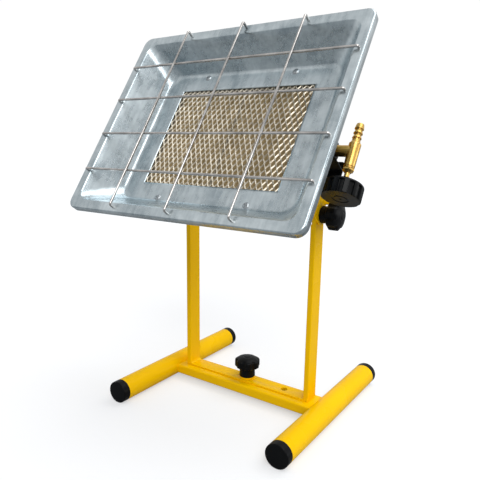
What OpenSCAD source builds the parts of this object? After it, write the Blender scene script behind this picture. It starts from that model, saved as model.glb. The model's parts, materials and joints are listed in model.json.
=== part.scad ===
// Portable gas heater: an infrared burner in a pressed steel reflector with a wire guard, which tilts
// on a yoke, and the yoke turns on a two-footed base. The origin is on the floor midway between the
// feet, on the axis that the yoke turns about. The front faces -Y and the gas valve is on the +X side.

/* [Base] */
// Outside diameter of the two foot tubes
foot_d = 28.6; // [24:0.2:34]
// Wall of the foot tubes
foot_wall = 1.5; // [1:0.1:3]
// Length of a foot over its end caps
foot_length = 253; // [180:1:360]
// Distance between the middles of the foot tubes
foot_spacing = 238.8; // [230:0.2:320]
// Length of an end cap outside the tube
cap_head = 8.5; // [5:0.5:16]
// Length of an end cap inside the tube
cap_plug = 12; // [6:0.5:20]
// Rounding of an end cap's outer edge
cap_edge = 2.5; // [0.5:0.1:4]
// Wall of an end cap
cap_wall = 2; // [1:0.1:4]
// Width of the crossbar, front to back
bar_w = 36; // [28:1:50]
// Height of the crossbar
bar_h = 13; // [10:0.5:18]
// Wall of the crossbar
bar_wall = 1.5; // [1:0.1:2.5]
// Outside corner radius of the crossbar
bar_corner = 2.5; // [1.6:0.1:4]
// How far the crossbar's middle lies below the axis of the foot tubes
bar_drop = 1.5; // [0:0.5:4]
// How far the crossbar's middle lies in front of the turning axis
bar_forward = 3.3; // [0:0.1:6]

/* [Yoke] */
// Width over the outer faces of the uprights
yoke_w = 193.8; // [192:0.2:206]
// Width of the strap and the uprights, front to back
upright_w = 22; // [16:0.5:26]
// Thickness of the uprights, side to side
upright_t = 6.8; // [5:0.1:10]
// Wall of the upright tubes
upright_wall = 1.2; // [0.8:0.1:2]
// Corner radius of the upright tubes
upright_corner = 1.4; // [1.2:0.1:2]
// Thickness of the strap on the crossbar
strap_t = 2; // [1.5:0.1:4]
// Thickness of the tongue on top of an upright
tongue_t = 5; // [3:0.1:6]
// Thickness of the plate that closes an upright's top
tongue_base = 2; // [1:0.1:4]
// Distance from an upright's closed top up to the tilt axis
tongue_rise = 11.4; // [8:0.1:20]
// Height of the tilt axis above the floor
pivot_z = 253.5; // [220:0.5:320]
// Diameter of the fixing hole through strap and crossbar
fixing_hole_d = 8.6; // [5:0.1:10]
// Distance of the fixing hole from the turning axis
fixing_hole_x = 57.2; // [35:0.1:75]

/* [Clamps] */
// Diameter of the threaded studs and of the pivot bolt
stud_d = 6; // [5:0.5:8]
// Width of the nuts across their flats
nut_flats = 10; // [9:0.5:13]
// Thickness of the nuts
nut_t = 5; // [3:0.5:6]
// Length of stud that stands out of a nut
stud_end = 1.5; // [0.5:0.5:4]
// Number of lobes on the clamp knobs
knob_lobes = 7; // [5:1:9]
// Diameter of the base knob's head
base_knob_d = 33.5; // [24:0.5:40]
// Thickness of the base knob's head
base_knob_t = 14.5; // [7:0.5:16]
// Diameter of the base knob's hub
base_hub_d = 21.2; // [14:0.1:24]
// Length of the base knob's hub
base_hub_l = 10.8; // [6:0.1:20]
// Thickness of the washer under the base knob
washer_t = 3.2; // [1:0.1:4]
// Diameter of that washer
washer_d = 18.6; // [14:0.1:22]
// Diameter of the tilt knob's head
tilt_knob_d = 34; // [26:0.5:40]
// Thickness of the tilt knob's head
tilt_knob_t = 15.5; // [8:0.5:18]
// Diameter of the tilt knob's hub
tilt_hub_d = 20.4; // [16:0.1:24]
// Length of the tilt knob's hub
tilt_hub_l = 8; // [7.8:0.1:16]
// Height of the domed top on both knobs
knob_dome = 2.5; // [1:0.1:4]

/* [Reflector] */
// Angle that the reflector leans back from upright
head_tilt = 34.6; // [0:0.1:50]
// Distance of the tilt axis behind the front of the reflector
pivot_back = 134; // [125:1:160]
// Distance of the tilt axis above the reflector's lower edge, along the reflector
pivot_up = 86; // [80:1:120]
// Width of the reflector
pan_w = 310.8; // [300:0.2:340]
// Height of the reflector, along its own plane
pan_h = 251.2; // [236:0.2:280]
// Depth of the reflector from its rim to its floor
pan_depth = 39.2; // [30:0.1:45]
// Thickness of the reflector's steel sheet
sheet = 1; // [0.6:0.1:1.5]
// Width of the flat rim
rim_w = 10; // [9:0.5:14]
// Depth of the turned-back edge of the rim
lip = 8; // [4:0.5:12]
// Corner radius of the rim
rim_corner = 10; // [6:0.5:16]
// Width of the reflector's floor
floor_w = 240; // [230:1:250]
// Height of the reflector's floor
floor_h = 182.4; // [178:0.2:192]
// Corner radius of the floor
floor_corner = 14; // [8:0.5:20]
// Inside radius of the bend between the walls and the floor
floor_bend = 3; // [1:0.5:4]
// How far the floor and the burner sit above the reflector's middle
burner_up = 1.6; // [0:0.1:4]
// Diameter of the screws that hold the burner to the floor
screw_d = 3.8; // [3:0.1:5]
// Distance of the floor screws from the middle, sideways
floor_screw_x = 61.6; // [40:0.1:80]
// Distance of the floor screws outside the burner box
floor_screw_out = 13.2; // [8:0.1:14]

/* [Guard] */
// Diameter of the guard wires
wire_d = 2.2; // [1.8:0.1:3]
// Distance of the cross wires' axes in front of the rim
wire_stand = 4.2; // [4:0.1:9]
// Inside radius where a wire bends back into the rim
wire_bend = 1.6; // [1.6:0.1:2.5]
// How far the wires' ends reach behind the rim
wire_tail = 3.5; // [1.5:0.1:7]
// Distance between the upright wires
upright_wire_gap = 80; // [60:0.5:95]
// Distance between the cross wires
cross_wire_gap = 50; // [40:0.5:60]
// Distance of the wire holes from the reflector's edge
wire_hole_in = 5; // [4:0.1:6]

/* [Burner] */
// Width of the opening in the reflector's floor
opening_w = 185; // [170:1:190]
// Height of the opening in the reflector's floor
opening_h = 134; // [120:1:140]
// Depth of the burner box
box_d = 42.6; // [42:0.1:50]
// Wall of the burner box
box_wall = 1; // [0.8:0.1:1.5]
// Width of the fixing tabs above and below the burner box
box_flange = 17; // [14:0.5:20]
// Depth of the tabs' legs on the box
tab_leg = 12; // [8:0.5:20]
// Width of the ledge inside the box that the ceramic rests on
ledge_w = 7; // [5:0.5:12]
// Width of one ceramic plaque
plaque_w = 92; // [80:0.5:92.5]
// Height of the ceramic plaques
plaque_h = 132; // [118:0.5:134]
// Thickness of the ceramic plaques
plaque_t = 13; // [10:0.5:14]
// Gap between the two plaques, filled by the gasket
plaque_gap = 2; // [1:0.5:6]
// Width of the gasket above and below the plaques
gasket_w = 6; // [4:0.5:6.5]
// Depth of the frame that spaces the screen from the floor
frame_t = 2.4; // [1.5:0.1:3]
// Width of that frame
frame_w = 3; // [2:0.5:3.5]
// Thickness of the expanded metal screen
screen_t = 1.2; // [0.8:0.1:2]
// Distance from the screen to the ceramic
screen_air = 2; // [1:0.5:4]
// Width of a mesh in the screen, side to side
mesh_x = 9.5; // [9:0.5:12]
// Length of a mesh in the screen, along the reflector
mesh_z = 16; // [15:0.5:20]
// Width of the strands between the meshes
strand = 1.5; // [1:0.1:2]
// Diameter of the mixing tube
tube_d = 19; // [15:0.5:19]
// Wall of the mixing tube
tube_wall = 1; // [0.8:0.1:2]
// Distance of the mixing tube's inner end from the box's far wall
tube_clear = 40; // [20:1:120]
// Length of the mixing tube outside the box
tube_out = 14.8; // [13:0.1:20]
// Height of the mixing tube above the box's middle
tube_up = 4; // [0:0.1:10]

/* [Ears] */
// Thickness of the ears that carry the burner box
ear_t = 2; // [1.5:0.1:3]
// Radius of an ear round the tilt axis
ear_r = 12.4; // [10:0.1:14]
// Height of the part of an ear that lies on the box
ear_grip = 80; // [60:1:100]
// Height of the stiffened rear edge above the tilt axis
ear_edge = 38; // [30:1:50]
// Width of the outward fold on that edge
ear_fold = 7.5; // [5:0.5:9]

/* [Valve] */
// Distance from the inlet nut to the valve's axis
branch_l = 20.4; // [17:0.1:28]
// Angle that the valve leans forward of the reflector's own plane
valve_lean = 5; // [0:0.5:12]
// Diameter of the valve body below its shoulder
valve_d = 13; // [11.8:0.1:18]
// Diameter of the valve body at its lower end
valve_low_d = 11.8; // [11:0.1:16]
// Length of the valve body above the inlet axis
valve_top = 12.5; // [9:0.5:20]
// Length of the rounded shoulder at the top of the valve body
valve_shoulder = 4.9; // [2:0.1:6]
// Length of the valve body below the inlet axis
valve_low = 20.7; // [14:0.1:26]
// Diameter of the valve's inlet branch
branch_d = 12.2; // [10:0.1:12.6]
// Diameter of the hose tail's core
tail_d = 8; // [7:0.1:10]
// Diameter of the hose tail's barbs
barb_d = 10; // [9.4:0.1:12]
// Length of the hose tail above the valve body
tail_l = 19; // [18:0.5:40]
// Diameter of the hose tail's bore
tail_bore_d = 5.2; // [3:0.1:5.6]
// Width of the gland nut across its flats
gland_flats = 11.5; // [10:0.5:12]
// Height of the gland nut
gland_h = 4.4; // [3:0.1:8]
// Diameter of the valve stem
stem_d = 5.5; // [4:0.5:6]
// Length of stem in sight between the gland nut and the control knob
stem_gap = 6.7; // [1:0.1:12]
// Diameter of the control knob
control_d = 42; // [36:0.2:50]
// Height of the control knob's grip
control_h = 17; // [14:0.5:24]
// Height of the control knob's collar
control_collar = 6; // [2:0.5:8]
// Diameter of that collar
control_collar_d = 14; // [10:0.5:20]
// Number of grip flutes on the control knob
control_flutes = 12; // [8:1:14]
// Width of a grip flute
flute_w = 5.4; // [3:0.1:7]
// Depth of a grip flute
flute_t = 1.3; // [0.6:0.1:3]
// Width of the inlet nut across its flats
inlet_nut_flats = 23.5; // [20:0.5:28]
// Length of the inlet nut
inlet_nut_l = 8.6; // [8:0.1:12]
// Thickness of the valve bracket
bracket_t = 2; // [1.5:0.1:3]
// Width of the valve bracket, front to back
bracket_w = 29; // [26:0.5:32]
// How far the valve bracket reaches outwards past its upright plate
bracket_out = 20; // [14:0.5:20]
// Height of the valve bracket's foot on the ear
bracket_foot = 14; // [13:0.5:18]
// Distance from the mixing tube down to the valve bracket's shelf
shelf_drop = 8; // [6:0.5:10]

/* [Hidden] */
$fn = 48;

// Clearance between a turning pin and its hole, on the radius
run_gap = 0.08;
// Clearance between two parts that are fixed together, on the radius or between faces
fit_gap = 0.05;
// Clearance between an ear and the tongue beside it
side_gap = 0.3;
// Clearance between flat faces that slide on each other
slide_gap = 0.1;
// Clearance round the guard wires in the rim's holes
wire_gap = 0.15;

// Base
foot_r = foot_d / 2;
foot_x = foot_spacing / 2;
foot_tube_l = foot_length - 2 * cap_head;
bar_z = foot_r - bar_drop;
bar_top = bar_z + bar_h / 2;
plug_r = foot_r - foot_wall - fit_gap;

// Yoke
strap_z = bar_top + slide_gap;
strap_top = strap_z + strap_t;
washer_z = strap_top + slide_gap;
base_knob_z = washer_z + washer_t;
upright_x = yoke_w / 2;
upright_top = pivot_z - tongue_rise - tongue_base;
tongue_x = upright_x - tongue_t;

// Clamps
stud_r = stud_d / 2;
pivot_hole_r = stud_r + run_gap;
washer_r = washer_d / 2;
ear_in = upright_x + side_gap;
ear_out = ear_in + ear_t;
knob_face_x = ear_out + side_gap;
stud_in_knob = 7;
bolt_head_t = 4;

// Head, in its own frame with the origin on the tilt axis, front to -Y, +Z up along the reflector
rim_y = -pivot_back;
floor_y = rim_y + pan_depth;
pan_mid = pan_h / 2 - pivot_up;
burner_mid = pan_mid + burner_up;
rim_in_w = pan_w - 2 * rim_w;
rim_in_h = pan_h - 2 * rim_w;
rim_in_corner = rim_corner - 1;
box_w = 2 * (ear_in - fit_gap);
box_h = plaque_h + 2 * (gasket_w + box_wall + fit_gap);
box_y = floor_y + sheet;
box_back = box_y + box_d;
frame_y = box_y + fit_gap;
screen_y = frame_y + frame_t + fit_gap;
gasket_y = screen_y + screen_t + fit_gap;
ceramic_y = screen_y + screen_t + screen_air;
ceramic_back = ceramic_y + plaque_t;
ledge_y = ceramic_back + fit_gap;
ledge_t = 1;
inner_w = box_w - 2 * box_wall - 2 * fit_gap;
inner_h = box_h - 2 * box_wall - 2 * fit_gap;
cross_wire_y = rim_y - wire_stand;
upright_wire_y = cross_wire_y - wire_d - 0.1;

// Gas path: the mixing tube, the injector and the valve's branch share one axis along X
gas_y = (ledge_y + ledge_t + box_back - box_wall) / 2;
gas_z = burner_mid + tube_up;
tube_r = tube_d / 2;
tube_end = box_w / 2 + tube_out;
bracket_x = tube_end + fit_gap;
nut_x = bracket_x + bracket_t + fit_gap;
branch_r = branch_d / 2;
branch_end = tube_end - 7;
valve_r = valve_d / 2;
valve_low_r = valve_low_d / 2;
valve_x = nut_x + inlet_nut_l + branch_l;
ear_plate_front = box_y + 6;
ear_plate_rear = box_back - 3;
fold_clear = 1.5;
screw_r = screw_d / 2;
foot_x0 = ear_out + fit_gap;
gland_top = -valve_low;
gland_low = gland_top - gland_h;
collar_top = gland_low - stem_gap;
grip_top = collar_top - control_collar;
grip_low = grip_top - control_h;

YELLOW = "#f0b400";
ZINC = "#a9b3b7";
BLACK = "#1e1e20";
BRASS = "#c89a3c";
STEEL = "#b9bcbf";
CERAMIC = "#d8c4a0";

// Puts a shape drawn in the head's own frame where the leaning head is
module on_head() {
    translate([0, 0, pivot_z]) rotate([-head_tilt, 0, 0]) children();
}

// Puts a shape drawn along Z on the valve's axis, with Z = 0 at the inlet branch
module on_valve() {
    on_head() translate([valve_x, gas_y, gas_z]) rotate([valve_lean, 0, 0]) children();
}

// Draws a profile of Y and Z and gives it a thickness from x to x + t
module side_plate(x, t) {
    translate([x, 0, 0]) rotate([90, 0, 90]) linear_extrude(t) children();
}

// Draws a profile of X and Z and gives it a depth from y to y + t
module front_plate(y, t) {
    translate([0, y + t, 0]) rotate([90, 0, 0]) linear_extrude(t) children();
}

// A cylinder along X from x to x + l
module rod_x(r, x, l) {
    translate([x, 0, 0]) rotate([0, 90, 0]) cylinder(r = r, h = l);
}

module rounded_rect(w, h, r) {
    square([w - 2 * r, h], center = true);
    square([w, h - 2 * r], center = true);
    for (x = [-1, 1], y = [-1, 1])
        translate([x * (w / 2 - r), y * (h / 2 - r)]) circle(r);
}

// A hexagon whose flats are a given width apart
module hexagon(flats) {
    circle(r = flats / 2 / cos(30), $fn = 6);
}

// Base

module foot_tube(x) {
    translate([x, 0, foot_r]) rotate([90, 0, 0]) difference() {
        cylinder(r = foot_r, h = foot_tube_l, center = true);
        cylinder(r = foot_r - foot_wall, h = foot_tube_l + 2, center = true);
    }
}

// A hollow plug with a rounded head, turned about its axis
module end_cap() {
    rotate_extrude() difference() {
        union() {
            square([foot_r - cap_edge, cap_head]);
            translate([0, cap_edge]) square([foot_r, cap_head - cap_edge]);
            translate([foot_r - cap_edge, cap_edge]) intersection() {
                circle(cap_edge);
                translate([0, -cap_edge]) square(cap_edge);
            }
            square([plug_r, cap_head + cap_plug]);
        }
        translate([-1, cap_wall + 1]) square([plug_r - cap_wall + 1, cap_head + cap_plug]);
        translate([-10, -10]) square([10, foot_length]);
    }
}

module foot_caps(x) {
    for (front = [-1, 1])
        translate([x, front * foot_length / 2, foot_r]) rotate([front * 90, 0, 0]) end_cap();
}

module left_foot_tube() {
    color(YELLOW) foot_tube(-foot_x);
}

module right_foot_tube() {
    color(YELLOW) foot_tube(foot_x);
}

module left_foot_caps() {
    color(BLACK) foot_caps(-foot_x);
}

module right_foot_caps() {
    color(BLACK) foot_caps(foot_x);
}

// Rectangular tube, its ends cut to the round of the feet
module crossbar() {
    color(YELLOW) difference() {
        translate([-foot_x, -bar_forward, bar_z]) rotate([90, 0, 90]) linear_extrude(foot_spacing)
            difference() {
                rounded_rect(bar_w, bar_h, bar_corner);
                square([bar_w - 2 * bar_wall, bar_h - 2 * bar_wall], center = true);
            }
        for (side = [-1, 1])
            translate([side * foot_x, 0, foot_r]) rotate([90, 0, 0])
                cylinder(r = foot_r + fit_gap, h = 2 * bar_w, center = true);
        translate([0, 0, bar_z]) cylinder(r = pivot_hole_r, h = bar_h + 2);
        translate([fixing_hole_x, 0, bar_z - bar_h]) cylinder(d = fixing_hole_d, h = 2 * bar_h);
    }
}

module swivel_nut() {
    color(STEEL) translate([0, 0, bar_top - bar_wall - nut_t]) linear_extrude(nut_t) difference() {
        hexagon(nut_flats);
        circle(pivot_hole_r);
    }
}

// Yoke

module yoke_strap() {
    color(YELLOW) translate([0, 0, strap_z]) linear_extrude(strap_t) difference() {
        square([yoke_w, upright_w], center = true);
        circle(pivot_hole_r);
        translate([fixing_hole_x, 0]) circle(d = fixing_hole_d);
    }
}

module upright(side) {
    translate([side * (upright_x - upright_t / 2), 0, strap_top]) linear_extrude(upright_top - strap_top)
        difference() {
            rounded_rect(upright_t, upright_w, upright_corner);
            square([upright_t - 2 * upright_wall, upright_w - 2 * upright_wall], center = true);
        }
}

// Closes the upright's top and rises round the tilt axis with a rounded end
module tongue(side) {
    difference() {
        union() {
            translate([side * (upright_x - upright_t / 2), 0, upright_top]) linear_extrude(tongue_base)
                rounded_rect(upright_t, upright_w, upright_corner);
            side_plate(side > 0 ? tongue_x : -upright_x, tongue_t) {
                translate([-upright_w / 2, upright_top + tongue_base]) square([upright_w, tongue_rise]);
                translate([0, pivot_z]) circle(upright_w / 2);
            }
        }
        translate([0, 0, pivot_z]) rod_x(pivot_hole_r, side > 0 ? 0 : -2 * upright_x, 2 * upright_x);
    }
}

module left_upright() {
    color(YELLOW) upright(-1);
}

module right_upright() {
    color(YELLOW) upright(1);
}

module left_tongue() {
    color(YELLOW) tongue(-1);
}

module right_tongue() {
    color(YELLOW) tongue(1);
}

// A nut on the inner face of a tongue
module tongue_nut(side, hole_r) {
    translate([0, 0, pivot_z]) side_plate(side > 0 ? tongue_x - nut_t : -tongue_x, nut_t) difference() {
        hexagon(nut_flats);
        circle(hole_r);
    }
}

module tilt_nut() {
    color(STEEL) tongue_nut(1, pivot_hole_r);
}

// The left ear turns on this bolt, which is tightened against the tongue
module pivot_bolt() {
    shank = ear_out + side_gap - tongue_x + nut_t + stud_end;
    color(STEEL) translate([0, 0, pivot_z]) {
        side_plate(-ear_out - side_gap - bolt_head_t, bolt_head_t) hexagon(nut_flats);
        rod_x(stud_r, -ear_out - side_gap - 0.01, shank);
    }
}

module pivot_nut() {
    color(STEEL) tongue_nut(-1, stud_r + fit_gap);
}

// Clamp knobs

// A moulded knob along +Z: a round hub that flares into a lobed head with a domed top and a shallow ring in it
module star_knob(head_d, head_t, hub_d, hub_l) {
    head_r = head_d / 2;
    edge = 1.5;
    flare = 4.5;
    lobe_gap_r = head_d * 0.17;
    lobe_gap_at = head_r + lobe_gap_r * 0.62;
    rim_drop = 1.5;
    rim_r = head_r - 1;
    dome_rise = knob_dome + rim_drop;
    dome_r = (rim_r * rim_r + dome_rise * dome_rise) / (2 * dome_rise);
    ring_r = head_d * 0.15;
    ring_t = 0.5;
    top = hub_l + head_t + knob_dome;
    difference() {
        union() {
            cylinder(d1 = hub_d, d2 = hub_d - 0.6, h = hub_l + 1);
            intersection() {
                translate([0, 0, hub_l]) rotate_extrude() {
                    polygon([
                        [0, 0], [hub_d / 2, 0], [head_r - edge, flare - edge], [head_r, flare],
                        [head_r, head_t + knob_dome], [0, head_t + knob_dome]
                    ]);
                }
                translate([0, 0, top - dome_r]) sphere(dome_r, $fn = 96);
            }
        }
        for (i = [0 : knob_lobes - 1])
            rotate([0, 0, (i + 0.5) * 360 / knob_lobes]) translate([lobe_gap_at, 0, hub_l - 1])
                cylinder(r = lobe_gap_r, h = head_t + knob_dome + 2);
        translate([0, 0, top - ring_t - 0.1]) difference() {
            cylinder(r = ring_r, h = 2);
            translate([0, 0, -1]) cylinder(r = ring_r * 0.75, h = 4);
        }
        translate([0, 0, -1]) cylinder(r = stud_r + fit_gap, h = stud_in_knob + 1);
    }
}

module base_knob() {
    color(BLACK) translate([0, 0, base_knob_z]) star_knob(base_knob_d, base_knob_t, base_hub_d, base_hub_l);
}

module base_knob_stud() {
    low = bar_top - bar_wall - nut_t - stud_end;
    color(STEEL) translate([0, 0, low]) cylinder(r = stud_r, h = base_knob_z + stud_in_knob - low);
}

module base_knob_washer() {
    color(STEEL) translate([0, 0, washer_z]) linear_extrude(washer_t) difference() {
        circle(washer_r);
        circle(stud_r + fit_gap);
    }
}

module tilt_knob() {
    color(BLACK) translate([knob_face_x, 0, pivot_z]) rotate([0, 90, 0])
        star_knob(tilt_knob_d, tilt_knob_t, tilt_hub_d, tilt_hub_l);
}

module tilt_knob_stud() {
    inner = tongue_x - nut_t - stud_end;
    color(STEEL) translate([0, 0, pivot_z]) rod_x(stud_r, inner, knob_face_x + stud_in_knob - inner);
}

// Reflector

// A thin rounded rectangle at a depth, for the hulls of the pressed pan
module pan_slice(w, h, r, y, mid) {
    translate([0, y, mid]) rotate([90, 0, 0]) linear_extrude(0.01) rounded_rect(w, h, r, $fn = 32);
}

// The solid that fills the pressed pan from its mouth to the floor, grown outwards and started a little in
// front of the rim. Its slices follow an arc round the edge of the floor
module pan_form(grow, front) {
    bend_r = floor_bend + grow;
    slope_w = atan(2 * pan_depth / (rim_in_w - floor_w));
    slope_h = atan(2 * pan_depth / (rim_in_h - floor_h));
    cut_w = bend_r * tan(slope_w / 2);
    cut_h = bend_r * tan(slope_h / 2);
    steps = 3;
    hull() {
        pan_slice(rim_in_w + 2 * grow, rim_in_h + 2 * grow, rim_in_corner + grow, rim_y - front + 0.01, pan_mid);
        for (i = [0 : steps]) {
            a = min(slope_w, slope_h) * i / steps;
            out = grow + bend_r * sin(a);
            pan_slice(floor_w + 2 * (out - cut_w), floor_h + 2 * (out - cut_h), floor_corner + out - cut_w,
                floor_y + grow - bend_r * (1 - cos(a)), burner_mid);
        }
    }
}

// Every place where an end of a guard wire goes through the rim, as [x, z] in the head's frame
cross_wire_x = pan_w / 2 - wire_hole_in;
upright_wire_z = pan_h / 2 - wire_hole_in;
cross_wire_zs = [for (i = [-1.5 : 1 : 1.5]) pan_mid + i * cross_wire_gap];
upright_wire_xs = [for (i = [-1 : 1]) i * upright_wire_gap];
wire_holes = concat(
    [for (z = cross_wire_zs, side = [-1, 1]) [side * cross_wire_x, z]],
    [for (x = upright_wire_xs, end = [-1, 1]) [x, pan_mid + end * upright_wire_z]]
);
floor_screws_at = [for (x = [-1, 1], end = [-1, 1])
    [x * floor_screw_x, burner_mid + end * (box_h / 2 + floor_screw_out)]];

module reflector_pan() {
    color(ZINC) on_head() difference() {
        union() {
            pan_form(sheet, 0);
            front_plate(rim_y, sheet) translate([0, pan_mid]) rounded_rect(pan_w, pan_h, rim_corner);
            front_plate(rim_y, lip) translate([0, pan_mid]) difference() {
                rounded_rect(pan_w, pan_h, rim_corner);
                rounded_rect(pan_w - 2 * sheet, pan_h - 2 * sheet, rim_corner - sheet);
            }
        }
        pan_form(0, 0.05);
        translate([-opening_w / 2, floor_y - 5, burner_mid - opening_h / 2]) cube([opening_w, 10, opening_h]);
        for (p = wire_holes)
            translate([p[0], rim_y - 1, p[1]]) rotate([-90, 0, 0])
                cylinder(r = wire_d / 2 + wire_gap, h = sheet + 2, $fn = 24);
        for (p = floor_screws_at)
            translate([p[0], floor_y - 1, p[1]]) rotate([-90, 0, 0])
                cylinder(r = screw_r + fit_gap, h = sheet + 2, $fn = 24);
    }
}

// A wire along X with both ends bent back towards +Y; leg is measured from the wire's axis
module bent_wire(length, leg) {
    turn = wire_bend + wire_d / 2;
    translate([-length / 2 + turn, 0, 0]) rotate([0, 90, 0]) cylinder(d = wire_d, h = length - 2 * turn, $fn = 24);
    for (side = [0, 1]) mirror([side, 0, 0]) {
        translate([length / 2 - turn, turn, 0]) rotate([0, 0, -90]) rotate_extrude(angle = 90, $fn = 24)
            translate([turn, 0]) circle(d = wire_d, $fn = 24);
        translate([length / 2, turn, 0]) rotate([-90, 0, 0]) cylinder(d = wire_d, h = leg - turn, $fn = 24);
    }
}

module guard_cross_wires() {
    color(STEEL) on_head() for (z = cross_wire_zs)
        translate([0, cross_wire_y, z]) bent_wire(2 * cross_wire_x, rim_y + wire_tail - cross_wire_y);
}

module guard_upright_wires() {
    color(STEEL) on_head() for (x = upright_wire_xs)
        translate([x, upright_wire_y, pan_mid]) rotate([0, 90, 0])
            bent_wire(2 * upright_wire_z, rim_y + wire_tail - upright_wire_y);
}

// A screw whose head sits on the plane Z = 0 and whose shank goes down from it
module screw(shank) {
    head_r = screw_r * 1.75;
    head_t = screw_d * 0.5;
    difference() {
        cylinder(r1 = head_r, r2 = head_r * 0.72, h = head_t, $fn = 24);
        translate([0, 0, head_t * 0.4]) linear_extrude(head_t) {
            square([head_r * 1.1, 0.9], center = true);
            square([0.9, head_r * 1.1], center = true);
        }
    }
    translate([0, 0, -shank]) cylinder(r = screw_r, h = shank + 0.01, $fn = 24);
}

module floor_screws() {
    color(STEEL) on_head() for (p = floor_screws_at)
        translate([p[0], floor_y, p[1]]) rotate([90, 0, 0]) screw(sheet + box_wall + 3);
}

// Burner

// Diamond meshes in staggered rows, each drawn smaller than its cell by the width of the strands
mesh_side = mesh_x * mesh_z / sqrt(mesh_x * mesh_x + mesh_z * mesh_z);
mesh_open = 1 - strand / mesh_side;
mesh_half_x = mesh_open * mesh_x / 2;
mesh_half_z = mesh_open * mesh_z / 2;
mesh_edge = strand + 0.5;
mesh_rows = floor((inner_h / 2 - mesh_edge - mesh_half_z) / (mesh_z / 2));
mesh_columns = (inner_w / 2 - mesh_edge - mesh_half_x) / mesh_x;
mesh_centres = [for (j = [-mesh_rows : mesh_rows])
    let (odd = abs(j) % 2, n = floor(mesh_columns + odd * 0.5))
    for (i = [-n : n - odd]) [(i + odd * 0.5) * mesh_x, j * mesh_z / 2]];

// Expanded metal: strands zigzag between the diamonds
module expanded_sheet(w, h) {
    difference() {
        square([w, h], center = true);
        for (c = mesh_centres) translate(c)
            polygon([[-mesh_half_x, 0], [0, -mesh_half_z], [mesh_half_x, 0], [0, mesh_half_z]]);
    }
}

module burner_mesh() {
    color("#b8a98a") on_head() front_plate(screen_y, screen_t) translate([0, burner_mid])
        expanded_sheet(inner_w, inner_h);
}

module mesh_frame() {
    color(ZINC) on_head() front_plate(frame_y, frame_t) translate([0, burner_mid]) difference() {
        square([inner_w, inner_h], center = true);
        square([inner_w - 2 * frame_w, inner_h - 2 * frame_w], center = true);
    }
}

module plaque(side) {
    color(CERAMIC) on_head() front_plate(ceramic_y, plaque_t)
        translate([side * (plaque_w + plaque_gap) / 2, burner_mid]) square([plaque_w, plaque_h], center = true);
}

module left_plaque() {
    plaque(-1);
}

module right_plaque() {
    plaque(1);
}

// Soft fibre round and between the plaques, out to the walls of the box
module plaque_gasket() {
    color("#e9e4d8") on_head() front_plate(gasket_y, ceramic_back - gasket_y) translate([0, burner_mid]) difference() {
        square([inner_w, inner_h], center = true);
        for (side = [-1, 1]) translate([side * (plaque_w + plaque_gap) / 2, 0])
            square([plaque_w + 2 * fit_gap, plaque_h + 2 * fit_gap], center = true);
    }
}

// Places for the ear screws on a side of the box, as [y, z]
ear_screws_at = [for (y = [ear_plate_front + 6, ear_plate_rear - 6], end = [-1, 1])
    [y, burner_mid + end * (ear_grip / 2 - 6)]];

// A pressed box, open at the front, with a ledge for the ceramic
module burner_box() {
    module wall_ring(y, depth, outer_w, outer_h, width) {
        front_plate(y, depth) translate([0, burner_mid]) difference() {
            square([outer_w, outer_h], center = true);
            square([outer_w - 2 * width, outer_h - 2 * width], center = true);
        }
    }
    color(ZINC) on_head() difference() {
        union() {
            wall_ring(box_y, box_d, box_w, box_h, box_wall);
            wall_ring(ledge_y, ledge_t, box_w, box_h, box_wall + ledge_w);
            front_plate(box_back - box_wall, box_wall) translate([0, burner_mid]) square([box_w, box_h], center = true);
        }
        translate([0, gas_y, gas_z]) rod_x(tube_r + fit_gap, 0, box_w);
        for (p = ear_screws_at, side = [-1, 1])
            translate([0, p[0], p[1]]) rod_x(screw_r + fit_gap, side > 0 ? box_w / 4 : -box_w, box_w * 3 / 4);
        for (p = bracket_screws_at)
            translate([0, p[0], p[1]]) rod_x(screw_r + fit_gap, box_w / 4, box_w * 3 / 4);
    }
}

// Two angles welded on the box, above and below, that the floor screws hold
module burner_tabs() {
    tab_w = 2 * floor_screw_x + 18;
    near = box_h / 2 + fit_gap;
    color(ZINC) on_head() difference() {
        for (end = [-1, 1]) {
            front_plate(box_y, box_wall) translate([0, burner_mid + end * (near + box_flange / 2)])
                square([tab_w, box_flange], center = true);
            front_plate(box_y, tab_leg) translate([0, burner_mid + end * (near + box_wall / 2)])
                square([tab_w, box_wall], center = true);
        }
        for (p = floor_screws_at)
            translate([p[0], box_y - 1, p[1]]) rotate([-90, 0, 0])
                cylinder(r = screw_r + fit_gap, h = box_wall + 2, $fn = 24);
    }
}

// Gas and air mix in this tube; round holes outside the box let the air in
module mixing_tube() {
    air_x = box_w / 2 + (tube_out + ear_t) / 2 + 0.5;
    air_d = tube_out - ear_t - 6;
    start = -box_w / 2 + tube_clear;
    color(STEEL) on_head() translate([0, gas_y, gas_z]) difference() {
        rod_x(tube_r, start, tube_end - start);
        rod_x(tube_r - tube_wall, start - 1, tube_end - start + 2);
        for (a = [0, 90]) translate([air_x, 0, 0]) rotate([a, 0, 0]) cylinder(d = air_d, h = tube_d + 2, center = true);
    }
}

// The nozzle on the end of the valve's branch, inside the mixing tube
module injector() {
    nozzle_l = 7;
    nozzle_hex_t = 3;
    nozzle_flats = 8;
    color(BRASS) on_head() translate([0, gas_y, gas_z]) difference() {
        union() {
            side_plate(branch_end - nozzle_hex_t, nozzle_hex_t - fit_gap) hexagon(nozzle_flats);
            translate([branch_end - nozzle_l, 0, 0]) rotate([0, 90, 0])
                cylinder(r1 = nozzle_flats * 0.2, r2 = nozzle_flats * 0.375, h = nozzle_l - nozzle_hex_t);
        }
        rod_x(0.5, branch_end - nozzle_l - 1, nozzle_l + 2);
    }
}

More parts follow.
